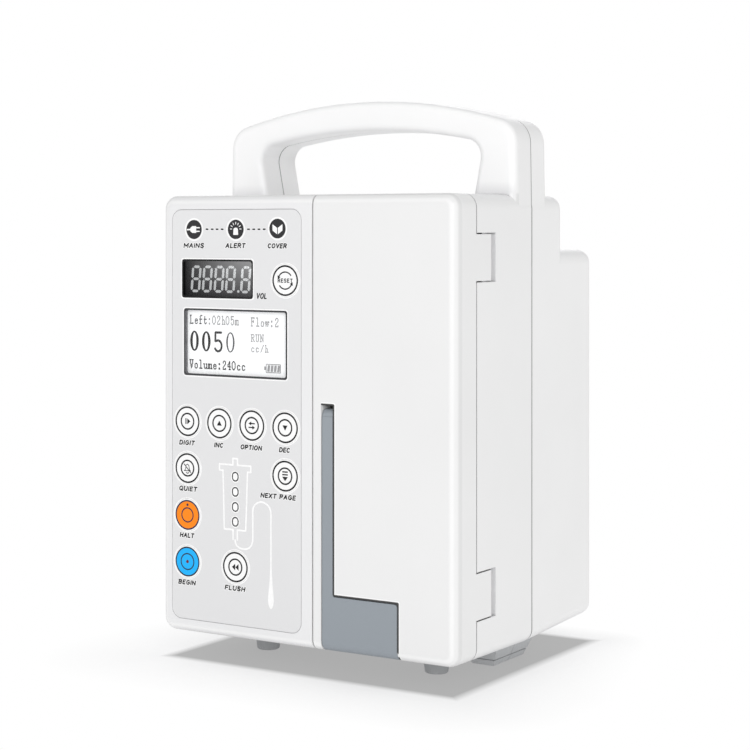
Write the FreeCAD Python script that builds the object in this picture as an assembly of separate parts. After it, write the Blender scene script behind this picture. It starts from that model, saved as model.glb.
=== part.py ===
import FreeCAD, Part
import math
import os
from FreeCAD import Vector

# Portable volumetric infusion pump: control panel on the left, swing door with an L-shaped
# release lever on the right, linear peristaltic finger pump behind the door, carrying handle
# on top and a pole clamp at the back.
#
# Frame while building, in mm: x to the right, y from the front face (y = 0) to the back, z up
# from the floor. save() centres the depth, so the origin is mid-footprint on the floor.

# ---- body ----
HALF_W = 63.0
TOP_Z = 171.55
BOTTOM_Z_FRONT = 9.95          # underside at the front face, the seam and the back face
BOTTOM_Z_SEAM = 9.4
BOTTOM_Z_BACK = 11.7
SEAM_Y = 55.5                  # joint between front and rear housing
UPPER_BACK_Y = 81.7            # back of the upper rear block
LOWER_BACK_Y = 107.0           # back of the lower rear block
LOWER_TOP_Z = 151.3            # top of the lower rear block
UPPER_BLOCK_Z0 = 60.0          # the upper block starts inside the lower one
LONG_R = 5.0                   # long top and bottom edges
FACE_R = 3.8                   # edges around the front face
BACK_R = 4.2                   # edges around the back faces
WALL = 2.7
CAVITY_R = 2.5
SEAM_GROOVE = 0.4              # depth of the groove around the seam
SEAM_GROOVE_HALF = 0.28        # its width on each side of the seam
SEAM_CHAMFER = 0.35            # bevel of the handle halves at the seam
FRONT_Y = -0.2                 # foremost point, on the key caps
REAR_Y = 174.2                 # rearmost point, on the pole clamp
MID_Y = 0.5 * (FRONT_Y + REAR_Y)

# ---- door and hinge ----
DOOR_X0 = 4.55                 # left edge of the door
PANEL_X1 = 4.05                # right edge of the control block
SPLIT_EDGE_R = 0.35            # front edges facing each other between panel and door
DOOR_Y = 13.5                  # door thickness
BAY_Y = 14.0                   # front of the wall behind the door
BAY_BACK = 19.5                # back of that wall
HINGE_X, HINGE_Y = 60.4, 22.5
HINGE_PIN_R = 1.5
RUN = 0.05                     # radial running clearance
HINGE_TABS = ((24.4, 40.5), (141.3, 157.5))    # bottom, top
HOOKS = ((26.0, 29.0), (143.0, 146.0))         # latch hooks: bottom, top

# ---- control panel; rectangles are left, right, bottom, top ----
OVERLAY = (-57.9, -0.45, 15.1, 166.3)
OVERLAY_T, OVERLAY_R, OVERLAY_GAP = 0.5, 4.0, 0.15
LED_WINDOW = (-53.5, -21.35, 133.85, 148.1)
LCD_WINDOW = (-52.6, -6.4, 105.2, 129.95)
WINDOWS = (LED_WINDOW, LCD_WINDOW)
KEY_R, KEY_GAP = 6.0, 0.05
KEYS = {                       # centre x, z
    "key_shift": (-50.8, 88.15), "key_up": (-36.25, 88.15),
    "key_select": (-21.75, 88.15), "key_down": (-7.2, 88.15),
    "key_silence": (-50.8, 70.8), "key_page_down": (-7.2, 70.85),
    "key_stop": (-50.8, 53.5), "key_start": (-50.8, 36.25),
    "key_bolus": (-29.05, 36.25), "key_clear": (-7.15, 140.8),
}
INDICATORS = (                 # centre x, z, lens radius
    (-47.9, 159.05, 2.5), (-29.0, 159.1, 2.5), (-10.6, 159.4, 2.5),
    (-29.2, 69.1, 1.7), (-29.2, 63.6, 1.7), (-29.2, 58.1, 1.7), (-29.2, 52.7, 1.7),
)
BOARD_Y, BOARD_T = 6.2, 1.6    # front and thickness of the keypad board

# ---- parts that look through the wall behind the door; left, right, bottom, top ----
TUBE_X = 33.0                  # tube channel, fingers and cam shaft
TUBE_W = 5.0
FRAME_FACE = (20.4, 45.6, 52.4, 123.6)
BUBBLE_FACE = (27.0, 39.0, 134.0, 146.0)
OCCLUSION_FACE = (27.0, 39.0, 34.0, 44.0)
FLOW_CLAMP_FACE = (26.0, 40.0, 22.0, 28.0)
PLATEN_FACE = (25.6, 40.4, 55.6, 120.4)
OPENING_GAP = 0.2
CUT_Y = (10, 20)               # depth range of cuts through door plate and bay wall

# ---- screws and feet ----
TOWERS = ((-55.4, 18.6), (-55.4, 162.5), (56.3, 53.0), (56.0, 163.5), (-2.0, 17.4))  # x, z
FRONT_TOWER_R, REAR_TOWER_R = 4.2, 5.4
SCREW_R, SCREW_HEAD_R, SCREW_HEAD_H, SCREW_L = 2.0, 3.7, 2.6, 20.0
SCREW_SEAT_Y = SEAM_Y + 6.0    # head seat of the housing screws
CLAMP_SCREWS = ((-30.0, 57.0), (12.0, 57.0), (-30.0, 123.5), (12.0, 123.5))  # x, z
CLAMP_FLANGE_T = 6.0
FRONT_FOOT_X, FRONT_FOOT_Y = 36.7, 32.1
FRONT_STUD_R = 2.5
REAR_FOOT_X, REAR_FOOT_Y = 45.0, 66.5
REAR_STUD_R = 3.0
STUD_Z0, SOCKET_Z1 = 5, 13.5

# ---- mains panel openings in the back wall; left, right, bottom, top ----
INLET_OPENING = (25.0, 53.0, 26.0, 46.4)
SWITCH_OPENING = (30.0, 48.0, 54.0, 67.0)

AXIS_Y = Vector(0, 1, 0)
AXIS_Z = Vector(0, 0, 1)


# =============================== helpers ===============================
def box(left, right, front, back, bottom, top):
    return Part.makeBox(right - left, back - front, top - bottom, Vector(left, front, bottom))


def tube_box(half_width, front, back, bottom, top):
    """Box centred across the tube channel."""
    return box(TUBE_X - half_width, TUBE_X + half_width, front, back, bottom, top)


def rod_x(y, z, radius, left, right):
    return Part.makeCylinder(radius, right - left, Vector(left, y, z), Vector(1, 0, 0))


def rod_y(x, z, radius, front, back):
    return Part.makeCylinder(radius, back - front, Vector(x, front, z), AXIS_Y)


def rod_z(x, y, radius, bottom, top):
    return Part.makeCylinder(radius, top - bottom, Vector(x, y, bottom), AXIS_Z)


def fuse(shapes):
    return shapes[0].multiFuse(shapes[1:]).removeSplitter()


def rounded_wire(left, right, bottom, top, radius, y):
    """Rounded rectangle in a plane of constant y."""
    inset = radius * (1 - math.sqrt(0.5))
    ends = [Vector(left + radius, y, bottom), Vector(right - radius, y, bottom),
            Vector(right, y, bottom + radius), Vector(right, y, top - radius),
            Vector(right - radius, y, top), Vector(left + radius, y, top),
            Vector(left, y, top - radius), Vector(left, y, bottom + radius)]
    middles = [Vector(right - inset, y, bottom + inset), Vector(right - inset, y, top - inset),
               Vector(left + inset, y, top - inset), Vector(left + inset, y, bottom + inset)]
    edges = []
    for i in range(4):
        start, bend, end = ends[2 * i], ends[2 * i + 1], ends[(2 * i + 2) % 8]
        edges.append(Part.makeLine(start, bend))
        edges.append(Part.Arc(bend, middles[i], end).toShape())
    return Part.Wire(edges)


def rounded_box(left, right, front, back, bottom, top, radius):
    """Box with its four edges along y rounded."""
    face = Part.Face(rounded_wire(left, right, bottom, top, radius, front))
    return face.extrude(Vector(0, back - front, 0))


def inset_box(rect, inset, front, back, radius):
    """Rounded box over a rectangle (left, right, bottom, top) shrunk by inset."""
    left, right, bottom, top = rect
    return rounded_box(left + inset, right - inset, front, back,
                       bottom + inset, top - inset, radius)


def upright_box(left, right, front, back, bottom, top, radius):
    """Box with its four upright edges rounded."""
    block = box(left, right, front, back, bottom, top)
    return fillet(block, edges_along(block, AXIS_Z), radius)


def is_along(edge, axis):
    if edge.Curve.TypeId != "Part::GeomLine":
        return False
    direction = edge.Vertexes[-1].Point - edge.Vertexes[0].Point
    if direction.Length < 1e-6:
        return False
    direction.normalize()
    return abs(abs(direction.dot(axis)) - 1) < 1e-6


def edges_along(shape, axis):
    return [edge for edge in shape.Edges if is_along(edge, axis)]


def edges_at(shape, axis, value):
    """Edges lying wholly in the plane axis = value; axis is "X", "Y" or "Z"."""
    return [edge for edge in shape.Edges
            if abs(getattr(edge.BoundBox, axis + "Min") - value) < 1e-4
            and abs(getattr(edge.BoundBox, axis + "Max") - value) < 1e-4]


def dress(shape, operation, size, edges):
    if not edges:
        return shape
    # guards against edges the kernel can't round or bevel: the shape then stays sharp
    try:
        result = operation(size, edges)
        if result.isValid() and result.Volume > 0:
            return result
    except Exception:
        pass
    return shape


def fillet(shape, edges, radius):
    return dress(shape, shape.makeFillet, radius, edges)


def chamfer(shape, edges, size):
    return dress(shape, shape.makeChamfer, size, edges)


os.makedirs("parts", exist_ok=True)


def save(name, *shapes):
    shape = shapes[0] if len(shapes) == 1 else Part.makeCompound(list(shapes))
    shape = shape.copy()
    shape.translate(Vector(0, -MID_Y, 0))
    shape.exportStep("parts/%s.step" % name)


# =============================== outer envelopes ===============================
def underside_z(y):
    if y <= SEAM_Y:
        return BOTTOM_Z_FRONT + (BOTTOM_Z_SEAM - BOTTOM_Z_FRONT) * y / SEAM_Y
    return BOTTOM_Z_SEAM + ((BOTTOM_Z_BACK - BOTTOM_Z_SEAM) * (y - SEAM_Y)
                            / (LOWER_BACK_Y - SEAM_Y))


def lofted_block(front, back, top):
    return Part.makeLoft([rounded_wire(-HALF_W, HALF_W, underside_z(y), top, LONG_R, y)
                          for y in (front, back)], True, True)


def seam_ring(front, back):
    """Thin frame around the body, cut away to form the seam groove."""
    core = rounded_box(-HALF_W + SEAM_GROOVE, HALF_W - SEAM_GROOVE, front - 1, back + 1,
                       underside_z(SEAM_Y) + SEAM_GROOVE, TOP_Z - SEAM_GROOVE,
                       LONG_R - SEAM_GROOVE)
    return box(-80, 80, front, back, 0, 200).cut(core)


front_envelope = lofted_block(0, SEAM_Y, TOP_Z)
front_envelope = fillet(front_envelope, edges_at(front_envelope, "Y", 0.0), FACE_R)

lower_envelope = lofted_block(SEAM_Y, LOWER_BACK_Y, LOWER_TOP_Z)
lower_envelope = fillet(lower_envelope, edges_at(lower_envelope, "Y", LOWER_BACK_Y), BACK_R)

upper_envelope = rounded_box(-HALF_W, HALF_W, SEAM_Y, UPPER_BACK_Y,
                             UPPER_BLOCK_Z0, TOP_Z, LONG_R)
upper_envelope = fillet(upper_envelope,
                        [edge for edge in edges_at(upper_envelope, "Y", UPPER_BACK_Y)
                         if edge.BoundBox.ZMin > UPPER_BLOCK_Z0 + LONG_R - 0.1], BACK_R)

# =============================== handle ===============================
HANDLE_Y0, HANDLE_Y1 = 43.0, 68.5
HANDLE_DEPTH = HANDLE_Y1 - HANDLE_Y0
# half width and z of the foot, half width and z of the shoulder, z of the crown
HANDLE_OUTER = (HALF_W, 160.0, 62.45, 197.1, 207.0)
HANDLE_INNER = (44.5, TOP_Z - 4.0, 48.9, 190.6, 196.0)
HANDLE_OUTER_R, HANDLE_INNER_R = 9.0, 6.5
HANDLE_OUTER_EDGE_R, HANDLE_INNER_EDGE_R = 3.0, 2.6


def arched_block(foot_x, foot_z, shoulder_x, shoulder_z, crown_z, depth):
    foot_left, foot_right = Vector(-foot_x, 0, foot_z), Vector(foot_x, 0, foot_z)
    left, right = Vector(-shoulder_x, 0, shoulder_z), Vector(shoulder_x, 0, shoulder_z)
    crown = Vector(0, 0, crown_z)
    wire = Part.Wire([Part.makeLine(foot_left, left), Part.Arc(left, crown, right).toShape(),
                      Part.makeLine(right, foot_right), Part.makeLine(foot_right, foot_left)])
    return Part.Face(wire).extrude(Vector(0, depth, 0))


def end_edges(shape):
    return edges_at(shape, "Y", 0.0) + edges_at(shape, "Y", HANDLE_DEPTH)


def make_handle():
    """One arched bar, still whole across the seam."""
    outer = arched_block(*HANDLE_OUTER, HANDLE_DEPTH)
    outer = fillet(outer, [edge for edge in edges_along(outer, AXIS_Y)
                           if edge.BoundBox.ZMin > 190], HANDLE_OUTER_R)
    outer = fillet(outer, [edge for edge in end_edges(outer)
                           if edge.BoundBox.ZMax > HANDLE_OUTER[1] + 0.1], HANDLE_OUTER_EDGE_R)
    inner = arched_block(*HANDLE_INNER, HANDLE_DEPTH + 2)
    inner.translate(Vector(0, -1, 0))
    inner = fillet(inner, [edge for edge in edges_along(inner, AXIS_Y)
                           if edge.BoundBox.ZMin > 185], HANDLE_INNER_R)
    bar = outer.cut(inner)
    bar = fillet(bar, [edge for edge in end_edges(bar)
                       if abs(edge.BoundBox.Center.x) < 49.5
                       and TOP_Z < edge.BoundBox.ZMax < 197
                       and edge.BoundBox.ZMin > 166.0], HANDLE_INNER_EDGE_R)
    bar.translate(Vector(0, HANDLE_Y0, 0))
    return bar.common(box(-70, 70, 0, 120, TOP_Z - 5.5, 220))


def handle_part(front, back):
    part = handle.common(box(-70, 70, front, back, 100, 220))
    return chamfer(part, [edge for edge in edges_at(part, "Y", SEAM_Y)
                          if edge.BoundBox.ZMax > TOP_Z], SEAM_CHAMFER)


handle = make_handle()
handle_front = handle_part(0, SEAM_Y)
handle_rear = handle_part(SEAM_Y, 120)

# =============================== front housing ===============================
FRONT_FLOOR_Z = 12.9
PANEL_BACK_Y = 2.8             # inner face of the panel wall
PANEL_CUT_Y = 3.5              # back end of the cuts through that wall
TAB_NOTCH_X0, TAB_NOTCH_BACK, TAB_NOTCH_GAP = 55.6, 27.6, 0.45
BAY_OPENINGS = ((FRAME_FACE, 1.0), (BUBBLE_FACE, 0.8),
                (OCCLUSION_FACE, 0.8), (FLOW_CLAMP_FACE, 0.4))   # rectangle, corner radius
SOUND_SLOTS, SOUND_SLOT_PITCH, SOUND_SLOT_W = 6, 3.2, 1.4


def front_split_edges(shape, x):
    return [edge for edge in edges_at(shape, "X", x) if edge.BoundBox.YMax < 1e-3]


def hinge_pin(bottom, top):
    return rod_z(HINGE_X, HINGE_Y, HINGE_PIN_R, bottom - 4.0, top + 4.0)


def front_housing():
    shell = front_envelope.cut(seam_ring(SEAM_Y - SEAM_GROOVE_HALF, SEAM_Y + 0.5))
    shell = shell.fuse(handle_front).removeSplitter()
    # room for the door
    shell = shell.cut(box(PANEL_X1, 80, -5, BAY_Y, 0, 200))
    shell = fillet(shell, front_split_edges(shell, PANEL_X1), SPLIT_EDGE_R)
    # cavities behind the panel and behind the bay wall
    for left, right, front in ((-HALF_W + WALL, PANEL_X1 - WALL, PANEL_BACK_Y),
                               (PANEL_X1 - WALL - 4, HALF_W - WALL, BAY_BACK)):
        shell = shell.cut(rounded_box(left, right, front, SEAM_Y + 1,
                                      FRONT_FLOOR_Z, TOP_Z - WALL, CAVITY_R))
    # overlay recess, window openings, key and indicator holes
    shell = shell.cut(inset_box(OVERLAY, -OVERLAY_GAP, -1, OVERLAY_T, OVERLAY_R + OVERLAY_GAP))
    for rect in WINDOWS:
        shell = shell.cut(inset_box(rect, 0.6, 0, PANEL_CUT_Y, 0.6))
    holes = [rod_y(x, z, KEY_R + KEY_GAP, -1, PANEL_CUT_Y) for x, z in KEYS.values()]
    holes += [rod_y(x, z, radius + 0.1, 0, PANEL_CUT_Y) for x, z, radius in INDICATORS]
    shell = shell.cut(Part.makeCompound(holes))
    # tube channel down the bay wall
    channel = tube_box(TUBE_W / 2, 10, 18.2, 0, 180)
    channel = fillet(channel, [edge for edge in edges_along(channel, AXIS_Z)
                               if edge.BoundBox.YMin > 17], 1.0)
    shell = shell.cut(channel)
    # openings for the mechanism, the sensors, the flow clamp and the latch hooks
    for rect, radius in BAY_OPENINGS:
        shell = shell.cut(inset_box(rect, -OPENING_GAP, *CUT_Y, radius))
    for bottom, top in HOOKS:
        shell = shell.cut(rounded_box(7.3, 15.2, *CUT_Y, bottom - 0.6, top + 8.5, 0.8))
    # hinge bosses with the tab pockets and pin bores
    bosses, pockets = [], []
    for bottom, top in HINGE_TABS:
        bosses.append(box(TAB_NOTCH_X0 - 1.6, HALF_W - 1.0, BAY_Y, TAB_NOTCH_BACK + 2.0,
                          bottom - 6.0, top + 6.0))
        pockets.append(box(TAB_NOTCH_X0, 80, 5, TAB_NOTCH_BACK,
                           bottom - TAB_NOTCH_GAP, top + TAB_NOTCH_GAP))
        pockets.append(hinge_pin(bottom, top))
    shell = shell.fuse(bosses).removeSplitter()
    shell = shell.cut(Part.makeCompound(pockets))
    # screw towers at the seam
    for x, z in TOWERS:
        front = BAY_BACK - 1.0 if x > 0 else 2.0
        shell = shell.fuse(rod_y(x, z, FRONT_TOWER_R, front, SEAM_Y))
    shell = shell.removeSplitter()
    for x, z in TOWERS:
        shell = shell.cut(rod_y(x, z, SCREW_R, SEAM_Y - 16, SEAM_Y + 1))
    # the towers can reach into the pin bores
    for bottom, top in HINGE_TABS:
        shell = shell.cut(hinge_pin(bottom, top))
    # sockets of the front feet
    for x in (-FRONT_FOOT_X, FRONT_FOOT_X):
        shell = shell.cut(rod_z(x, FRONT_FOOT_Y, FRONT_STUD_R, STUD_Z0, SOCKET_Z1))
    # sound slots for the alarm speaker in the left wall
    for i in range(SOUND_SLOTS):
        front = 24 + i * SOUND_SLOT_PITCH
        shell = shell.cut(box(-HALF_W - 1, -HALF_W + WALL + 1,
                              front, front + SOUND_SLOT_W, 128, 146))
    return shell


save("front_housing", front_housing())

# =============================== rear housing ===============================
REAR_FLOOR_Z = 14.6
VENTS, VENT_PITCH, VENT_H, VENT_Z0 = 5, 3.2, 1.6, 132.0
BACK_CUT_Y = (100, 110)        # depth range of cuts through the lower back wall


def tower_back_y(z):
    return UPPER_BACK_Y if z > 150 else LOWER_BACK_Y


def rear_housing():
    shell = lower_envelope.fuse(upper_envelope).removeSplitter()
    shell = shell.cut(seam_ring(SEAM_Y - 0.5, SEAM_Y + SEAM_GROOVE_HALF))
    shell = shell.fuse(handle_rear).removeSplitter()
    for back, bottom, top in ((UPPER_BACK_Y, 90, TOP_Z),
                              (LOWER_BACK_Y, REAR_FLOOR_Z, LOWER_TOP_Z)):
        shell = shell.cut(rounded_box(-HALF_W + WALL, HALF_W - WALL, SEAM_Y - 1, back - WALL,
                                      bottom, top - WALL, CAVITY_R))
    # screw towers from the back wall, bored for shank and head
    for x, z in TOWERS:
        shell = shell.fuse(rod_y(x, z, REAR_TOWER_R, SEAM_Y, tower_back_y(z) - 1.0))
    shell = shell.removeSplitter()
    for x, z in TOWERS:
        back = tower_back_y(z) + 1
        shell = shell.cut(rod_y(x, z, SCREW_R + 0.2, SEAM_Y - 1, back))
        shell = shell.cut(rod_y(x, z, SCREW_HEAD_R + 0.3, SCREW_SEAT_Y, back))
    # sockets of the rear feet
    for x in (-REAR_FOOT_X, REAR_FOOT_X):
        shell = shell.cut(rod_z(x, REAR_FOOT_Y, REAR_STUD_R, STUD_Z0, SOCKET_Z1))
    # mains inlet and rocker switch
    shell = shell.cut(inset_box(INLET_OPENING, 0, *BACK_CUT_Y, 1.5))
    shell = shell.cut(inset_box(SWITCH_OPENING, 0, *BACK_CUT_Y, 0.8))
    # clamp screws run into bosses on the inside of the back wall
    for x, z in CLAMP_SCREWS:
        shell = shell.fuse(rod_y(x, z, 4.5, LOWER_BACK_Y - 14.0, LOWER_BACK_Y - 1.0))
    shell = shell.removeSplitter()
    for x, z in CLAMP_SCREWS:
        shell = shell.cut(rod_y(x, z, SCREW_R, LOWER_BACK_Y - 14.5, LOWER_BACK_Y + 1))
    # vent slots in the back
    for i in range(VENTS):
        bottom = VENT_Z0 + VENT_PITCH * i
        for left, right in ((-50.0, -30.0), (30.0, 50.0)):
            shell = shell.cut(rounded_box(left, right, *BACK_CUT_Y,
                                          bottom, bottom + VENT_H, 0.7))
    return shell


save("rear_housing", rear_housing())


# =============================== screws ===============================
def cap_screw(x, seat_y, z):
    """Cylinder-head screw pointing to the front, with a hex socket in the head."""
    head_back = seat_y + SCREW_HEAD_H
    screw = rod_y(x, z, SCREW_R, seat_y - SCREW_L, seat_y + 0.01).fuse(
        rod_y(x, z, SCREW_HEAD_R, seat_y, head_back)).removeSplitter()
    socket_r = 1.6
    hexagon = [Vector(x + socket_r * math.cos(math.pi / 3 * i), seat_y + 1.0,
                      z + socket_r * math.sin(math.pi / 3 * i)) for i in range(7)]
    screw = screw.cut(Part.Face(Part.makePolygon(hexagon)).extrude(Vector(0, 4, 0)))
    return fillet(screw, [edge for edge in edges_at(screw, "Y", head_back)
                          if edge.Curve.TypeId == "Part::GeomCircle"], 0.35)


# five join the housings, four hold the pole clamp
screws = [cap_screw(x, SCREW_SEAT_Y, z) for x, z in TOWERS]
screws += [cap_screw(x, LOWER_BACK_Y + CLAMP_FLANGE_T, z) for x, z in CLAMP_SCREWS]
save("housing_screws", *screws)

# =============================== feet ===============================
FRONT_FOOT_R_TOP, FRONT_FOOT_R_FLOOR = 5.6, 4.2
WEDGE_H = 12.5
WEDGE_FLOOR = (40.6, 49.4, 51.6, 75.0)     # left, right, front, back of the right foot at z = 0
WEDGE_TOP = (38.4, 55.0, 45.0, 78.5)       # the same at WEDGE_H


def front_foot(x):
    foot = Part.makeCone(FRONT_FOOT_R_FLOOR, FRONT_FOOT_R_TOP, 12.0,
                         Vector(x, FRONT_FOOT_Y, 0.0), AXIS_Z)
    foot = fillet(foot, edges_at(foot, "Z", 0.0), 0.8).cut(front_envelope)
    stud = rod_z(x, FRONT_FOOT_Y, FRONT_STUD_R, STUD_Z0, 12.8)
    return foot.fuse(stud).removeSplitter()


def wedge(side, inset, bottom, top):
    """Wedge block between two heights, its sides moved in by inset; side is -1 left, 1 right."""
    wires = []
    for z in (bottom, top):
        left, right, front, back = (low + (high - low) * z / WEDGE_H
                                    for low, high in zip(WEDGE_FLOOR, WEDGE_TOP))
        left, right = left + inset, right - inset
        front, back = front + inset, back - inset
        if side < 0:
            left, right = -right, -left
        wires.append(Part.makePolygon([Vector(left, front, z), Vector(right, front, z),
                                       Vector(right, back, z), Vector(left, back, z),
                                       Vector(left, front, z)]))
    return Part.makeLoft(wires, True, True)


def rear_foot(side):
    """Rubber block tapering to the floor, with two shallow grooves around it."""
    foot = wedge(side, 0.0, 0.0, WEDGE_H)
    foot = fillet(foot, edges_at(foot, "Z", 0.0), 0.6)
    skin = wedge(side, -1.0, -1.0, 13.0).cut(wedge(side, 0.5, -2.0, 14.0))
    foot = foot.cut(skin.common(box(-70, 70, 62.65, 62.95, -1, 20)))
    foot = foot.cut(skin.common(box(-70, 70, 40, 90, 2.3, 2.6)))
    foot = foot.cut(Part.makeCompound([lower_envelope, front_envelope]))
    stud = rod_z(REAR_FOOT_X * side, REAR_FOOT_Y, REAR_STUD_R, STUD_Z0, 13.4)
    return foot.fuse(stud).removeSplitter()


save("front_feet", front_foot(-FRONT_FOOT_X), front_foot(FRONT_FOOT_X))
save("rear_feet", rear_foot(-1), rear_foot(1))


# =============================== control panel ===============================
def overlay():
    sheet = inset_box(OVERLAY, 0, 0.0, OVERLAY_T, OVERLAY_R)
    cuts = [inset_box(rect, 0, -1, 2, 0.6) for rect in WINDOWS]
    cuts += [rod_y(x, z, KEY_R + KEY_GAP, -1, 2) for x, z in KEYS.values()]
    return sheet.cut(Part.makeCompound(cuts))


def window(rect):
    pane = inset_box(rect, 0.05, 0.02, OVERLAY_T, 0.5)
    return pane.fuse(inset_box(rect, 0.7, OVERLAY_T - 0.01, 1.4, 0.5)).removeSplitter()


def led_module():
    left, right, bottom, top = LED_WINDOW
    return box(left + 1.5, right - 1.5, 1.6, BOARD_Y, bottom + 1.2, top - 1.2)


def lcd_module():
    left, right, bottom, top = LCD_WINDOW
    glass = box(left + 0.9, right - 0.9, 1.5, 3.0, bottom + 0.9, top - 0.9)
    frame = rounded_box(left - 1.5, right + 1.5, 3.0, BOARD_Y, bottom - 1.6, top + 1.6, 0.8)
    return glass.fuse(frame).removeSplitter()


def key_cap(x, z):
    collar_y, nub_y = 2.95, 3.9
    cap = rod_y(x, z, KEY_R, FRONT_Y, collar_y)
    cap = fillet(cap, edges_at(cap, "Y", FRONT_Y), 0.15)
    collar = rod_y(x, z, KEY_R + 0.8, collar_y, nub_y)
    return fuse([cap, collar, rod_y(x, z, 1.5, nub_y, 5.2)])


def indicator(x, z, radius):
    lens = rod_y(x, z, radius, 0.55, 2.0)
    return lens.fuse(rod_y(x, z, radius - 0.3, 2.0, BOARD_Y)).removeSplitter()


BOARD_BACK = BOARD_Y + BOARD_T
KEYPAD_CHIPS = (               # left, right, height off the board, bottom, top
    (-50, -38, 2.0, 108, 120), (-28, -12, 1.6, 110, 126),
    (-40, -24, 5.4, 30, 35), (-22, -10, 1.8, 60, 66),
)


def keypad_board():
    board = box(-58.6, 0.2, BOARD_Y, BOARD_BACK, 24.0, 165.5)
    # clearance around the upper left screw tower
    board = board.cut(rod_y(*TOWERS[1], FRONT_TOWER_R + 0.4, 0, 20))
    chips = [box(left, right, BOARD_BACK, BOARD_BACK + height, bottom, top)
             for left, right, height, bottom, top in KEYPAD_CHIPS]
    domes = [Part.makeCone(2.6, 1.6, 0.5, Vector(x, BOARD_Y, z), Vector(0, -1, 0))
             for x, z in KEYS.values()]
    return fuse([board] + chips + domes)


save("membrane_overlay", overlay())
save("led_window", window(LED_WINDOW))
save("lcd_window", window(LCD_WINDOW))
save("led_display", led_module())
save("lcd_display", lcd_module())
for name, (x, z) in KEYS.items():
    save(name, key_cap(x, z))
save("indicator_leds", *[indicator(*entry) for entry in INDICATORS])
save("keypad_board", keypad_board())

# =============================== door ===============================
DOOR_IN_X1 = 57.6                          # inside of the door rim
DOOR_IN_Z0, DOOR_IN_Z1 = 12.6, 168.85
PLATE_Y = 11.3                             # front of the inner plate
PLATE_POSTS = ((20.0, 160.0), (50.0, 160.0), (20.0, 40.0), (50.0, 20.0))   # x, z
TAB_X0, TAB_BACK = 57.8, 25.0
SLOT_X0, SLOT_X1, SLOT_X2 = 8.0, 13.0, 39.4    # lever slot: left, right of strip, of paddle
SLOT_TOP, PADDLE_TOP = 97.0, 29.9
LEVER_GAP = 0.3
LEVER_FRONT = 0.25                         # setback of the lever from the door face
PIVOT_Y, PIVOT_Z = 3.0, 93.0
PIVOT_R, LEVER_BOSS_R = 1.0, 2.6


def lever_prism(gap, front, back):
    """L outline of the lever slot, shrunk by gap."""
    bottom = underside_z(0) - 3.0
    right, paddle_right = SLOT_X1 - gap, SLOT_X2 - gap
    strip = box(SLOT_X0 + gap, right, front, back, bottom, SLOT_TOP - gap)
    paddle = box(SLOT_X0 + gap, paddle_right, front, back, bottom, PADDLE_TOP - gap)
    prism = strip.fuse(paddle).removeSplitter()
    prism = fillet(prism, [edge for edge in edges_along(prism, AXIS_Y)
                           if abs(edge.BoundBox.XMin - paddle_right) < 1e-3
                           and edge.BoundBox.ZMin > 20], 1.2)
    return fillet(prism, [edge for edge in edges_along(prism, AXIS_Y)
                          if abs(edge.BoundBox.XMin - right) < 1e-3
                          and edge.BoundBox.ZMin < 40], 0.8)


def lever_pin():
    return rod_x(PIVOT_Y, PIVOT_Z, PIVOT_R, SLOT_X0 - 1.0, SLOT_X1 + 1.0)


def door_shell():
    shell = front_envelope.common(box(DOOR_X0, 80, -5, DOOR_Y, 0, 200))
    shell = fillet(shell, front_split_edges(shell, DOOR_X0), SPLIT_EDGE_R)
    shell = shell.cut(rounded_box(DOOR_X0 + 2.2, DOOR_IN_X1, 2.4, DOOR_Y + 1,
                                  DOOR_IN_Z0, DOOR_IN_Z1, 1.5))
    # pocket behind the lever
    wall = 1.2
    pocket = fuse([box(SLOT_X0 - wall, right + wall, 0.5, 7.2, DOOR_IN_Z0 - 0.5, top + wall)
                   for right, top in ((SLOT_X1, SLOT_TOP), (SLOT_X2, PADDLE_TOP))])
    shell = shell.fuse(pocket.common(box(DOOR_X0 + 0.5, 60, 2.0, 8, 10.0, 200)))
    shell = shell.removeSplitter()
    shell = shell.cut(lever_prism(0.0, -1, 6.0))
    shell = shell.cut(lever_pin())
    # hinge tabs
    tabs = []
    for bottom, top in HINGE_TABS:
        tab = box(TAB_X0, HALF_W, DOOR_Y - 3, TAB_BACK, bottom, top)
        tabs.append(fillet(tab, [edge for edge in edges_along(tab, AXIS_Z)
                                 if edge.BoundBox.YMin > 20], 0.8))
    shell = shell.fuse(tabs).removeSplitter()
    for bottom, top in HINGE_TABS:
        shell = shell.cut(rod_z(HINGE_X, HINGE_Y, HINGE_PIN_R + RUN, bottom - 1, top + 1))
    # four posts that carry the inner plate
    for x, z in PLATE_POSTS:
        shell = shell.fuse(rod_y(x, z, 2.6, 2.0, PLATE_Y))
    return shell.removeSplitter()


def inner_plate():
    plate = rounded_box(DOOR_X0 + 2.25, DOOR_IN_X1 - 0.05, PLATE_Y, DOOR_Y,
                        DOOR_IN_Z0 + 0.05, DOOR_IN_Z1 - 0.05, 1.4)
    plate = plate.cut(inset_box(PLATEN_FACE, -OPENING_GAP, *CUT_Y, 0.6))
    for bottom, top in HOOKS:
        plate = plate.cut(rounded_box(8.0, 13.5, *CUT_Y, bottom - 0.5, top + 5.0, 0.5))
    # shallow seat of the tube below and above the platen
    for bottom, top in ((0, PLATEN_FACE[2] - OPENING_GAP), (PLATEN_FACE[3] + OPENING_GAP, 200)):
        plate = plate.cut(tube_box(2.2, 13.2, 20, bottom, top))
    return plate


def door_seal():
    """Flat frame around the platen, parted where the tube crosses it."""
    outline = (15.5, 55.5, 48.5, 127.5)
    ring = inset_box(outline, 0, DOOR_Y, DOOR_Y + 0.42, 3.0)
    ring = ring.cut(inset_box(outline, 2.0, *CUT_Y, 2.0))
    return ring.cut(tube_box(2.8, *CUT_Y, 0, 200))


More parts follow.
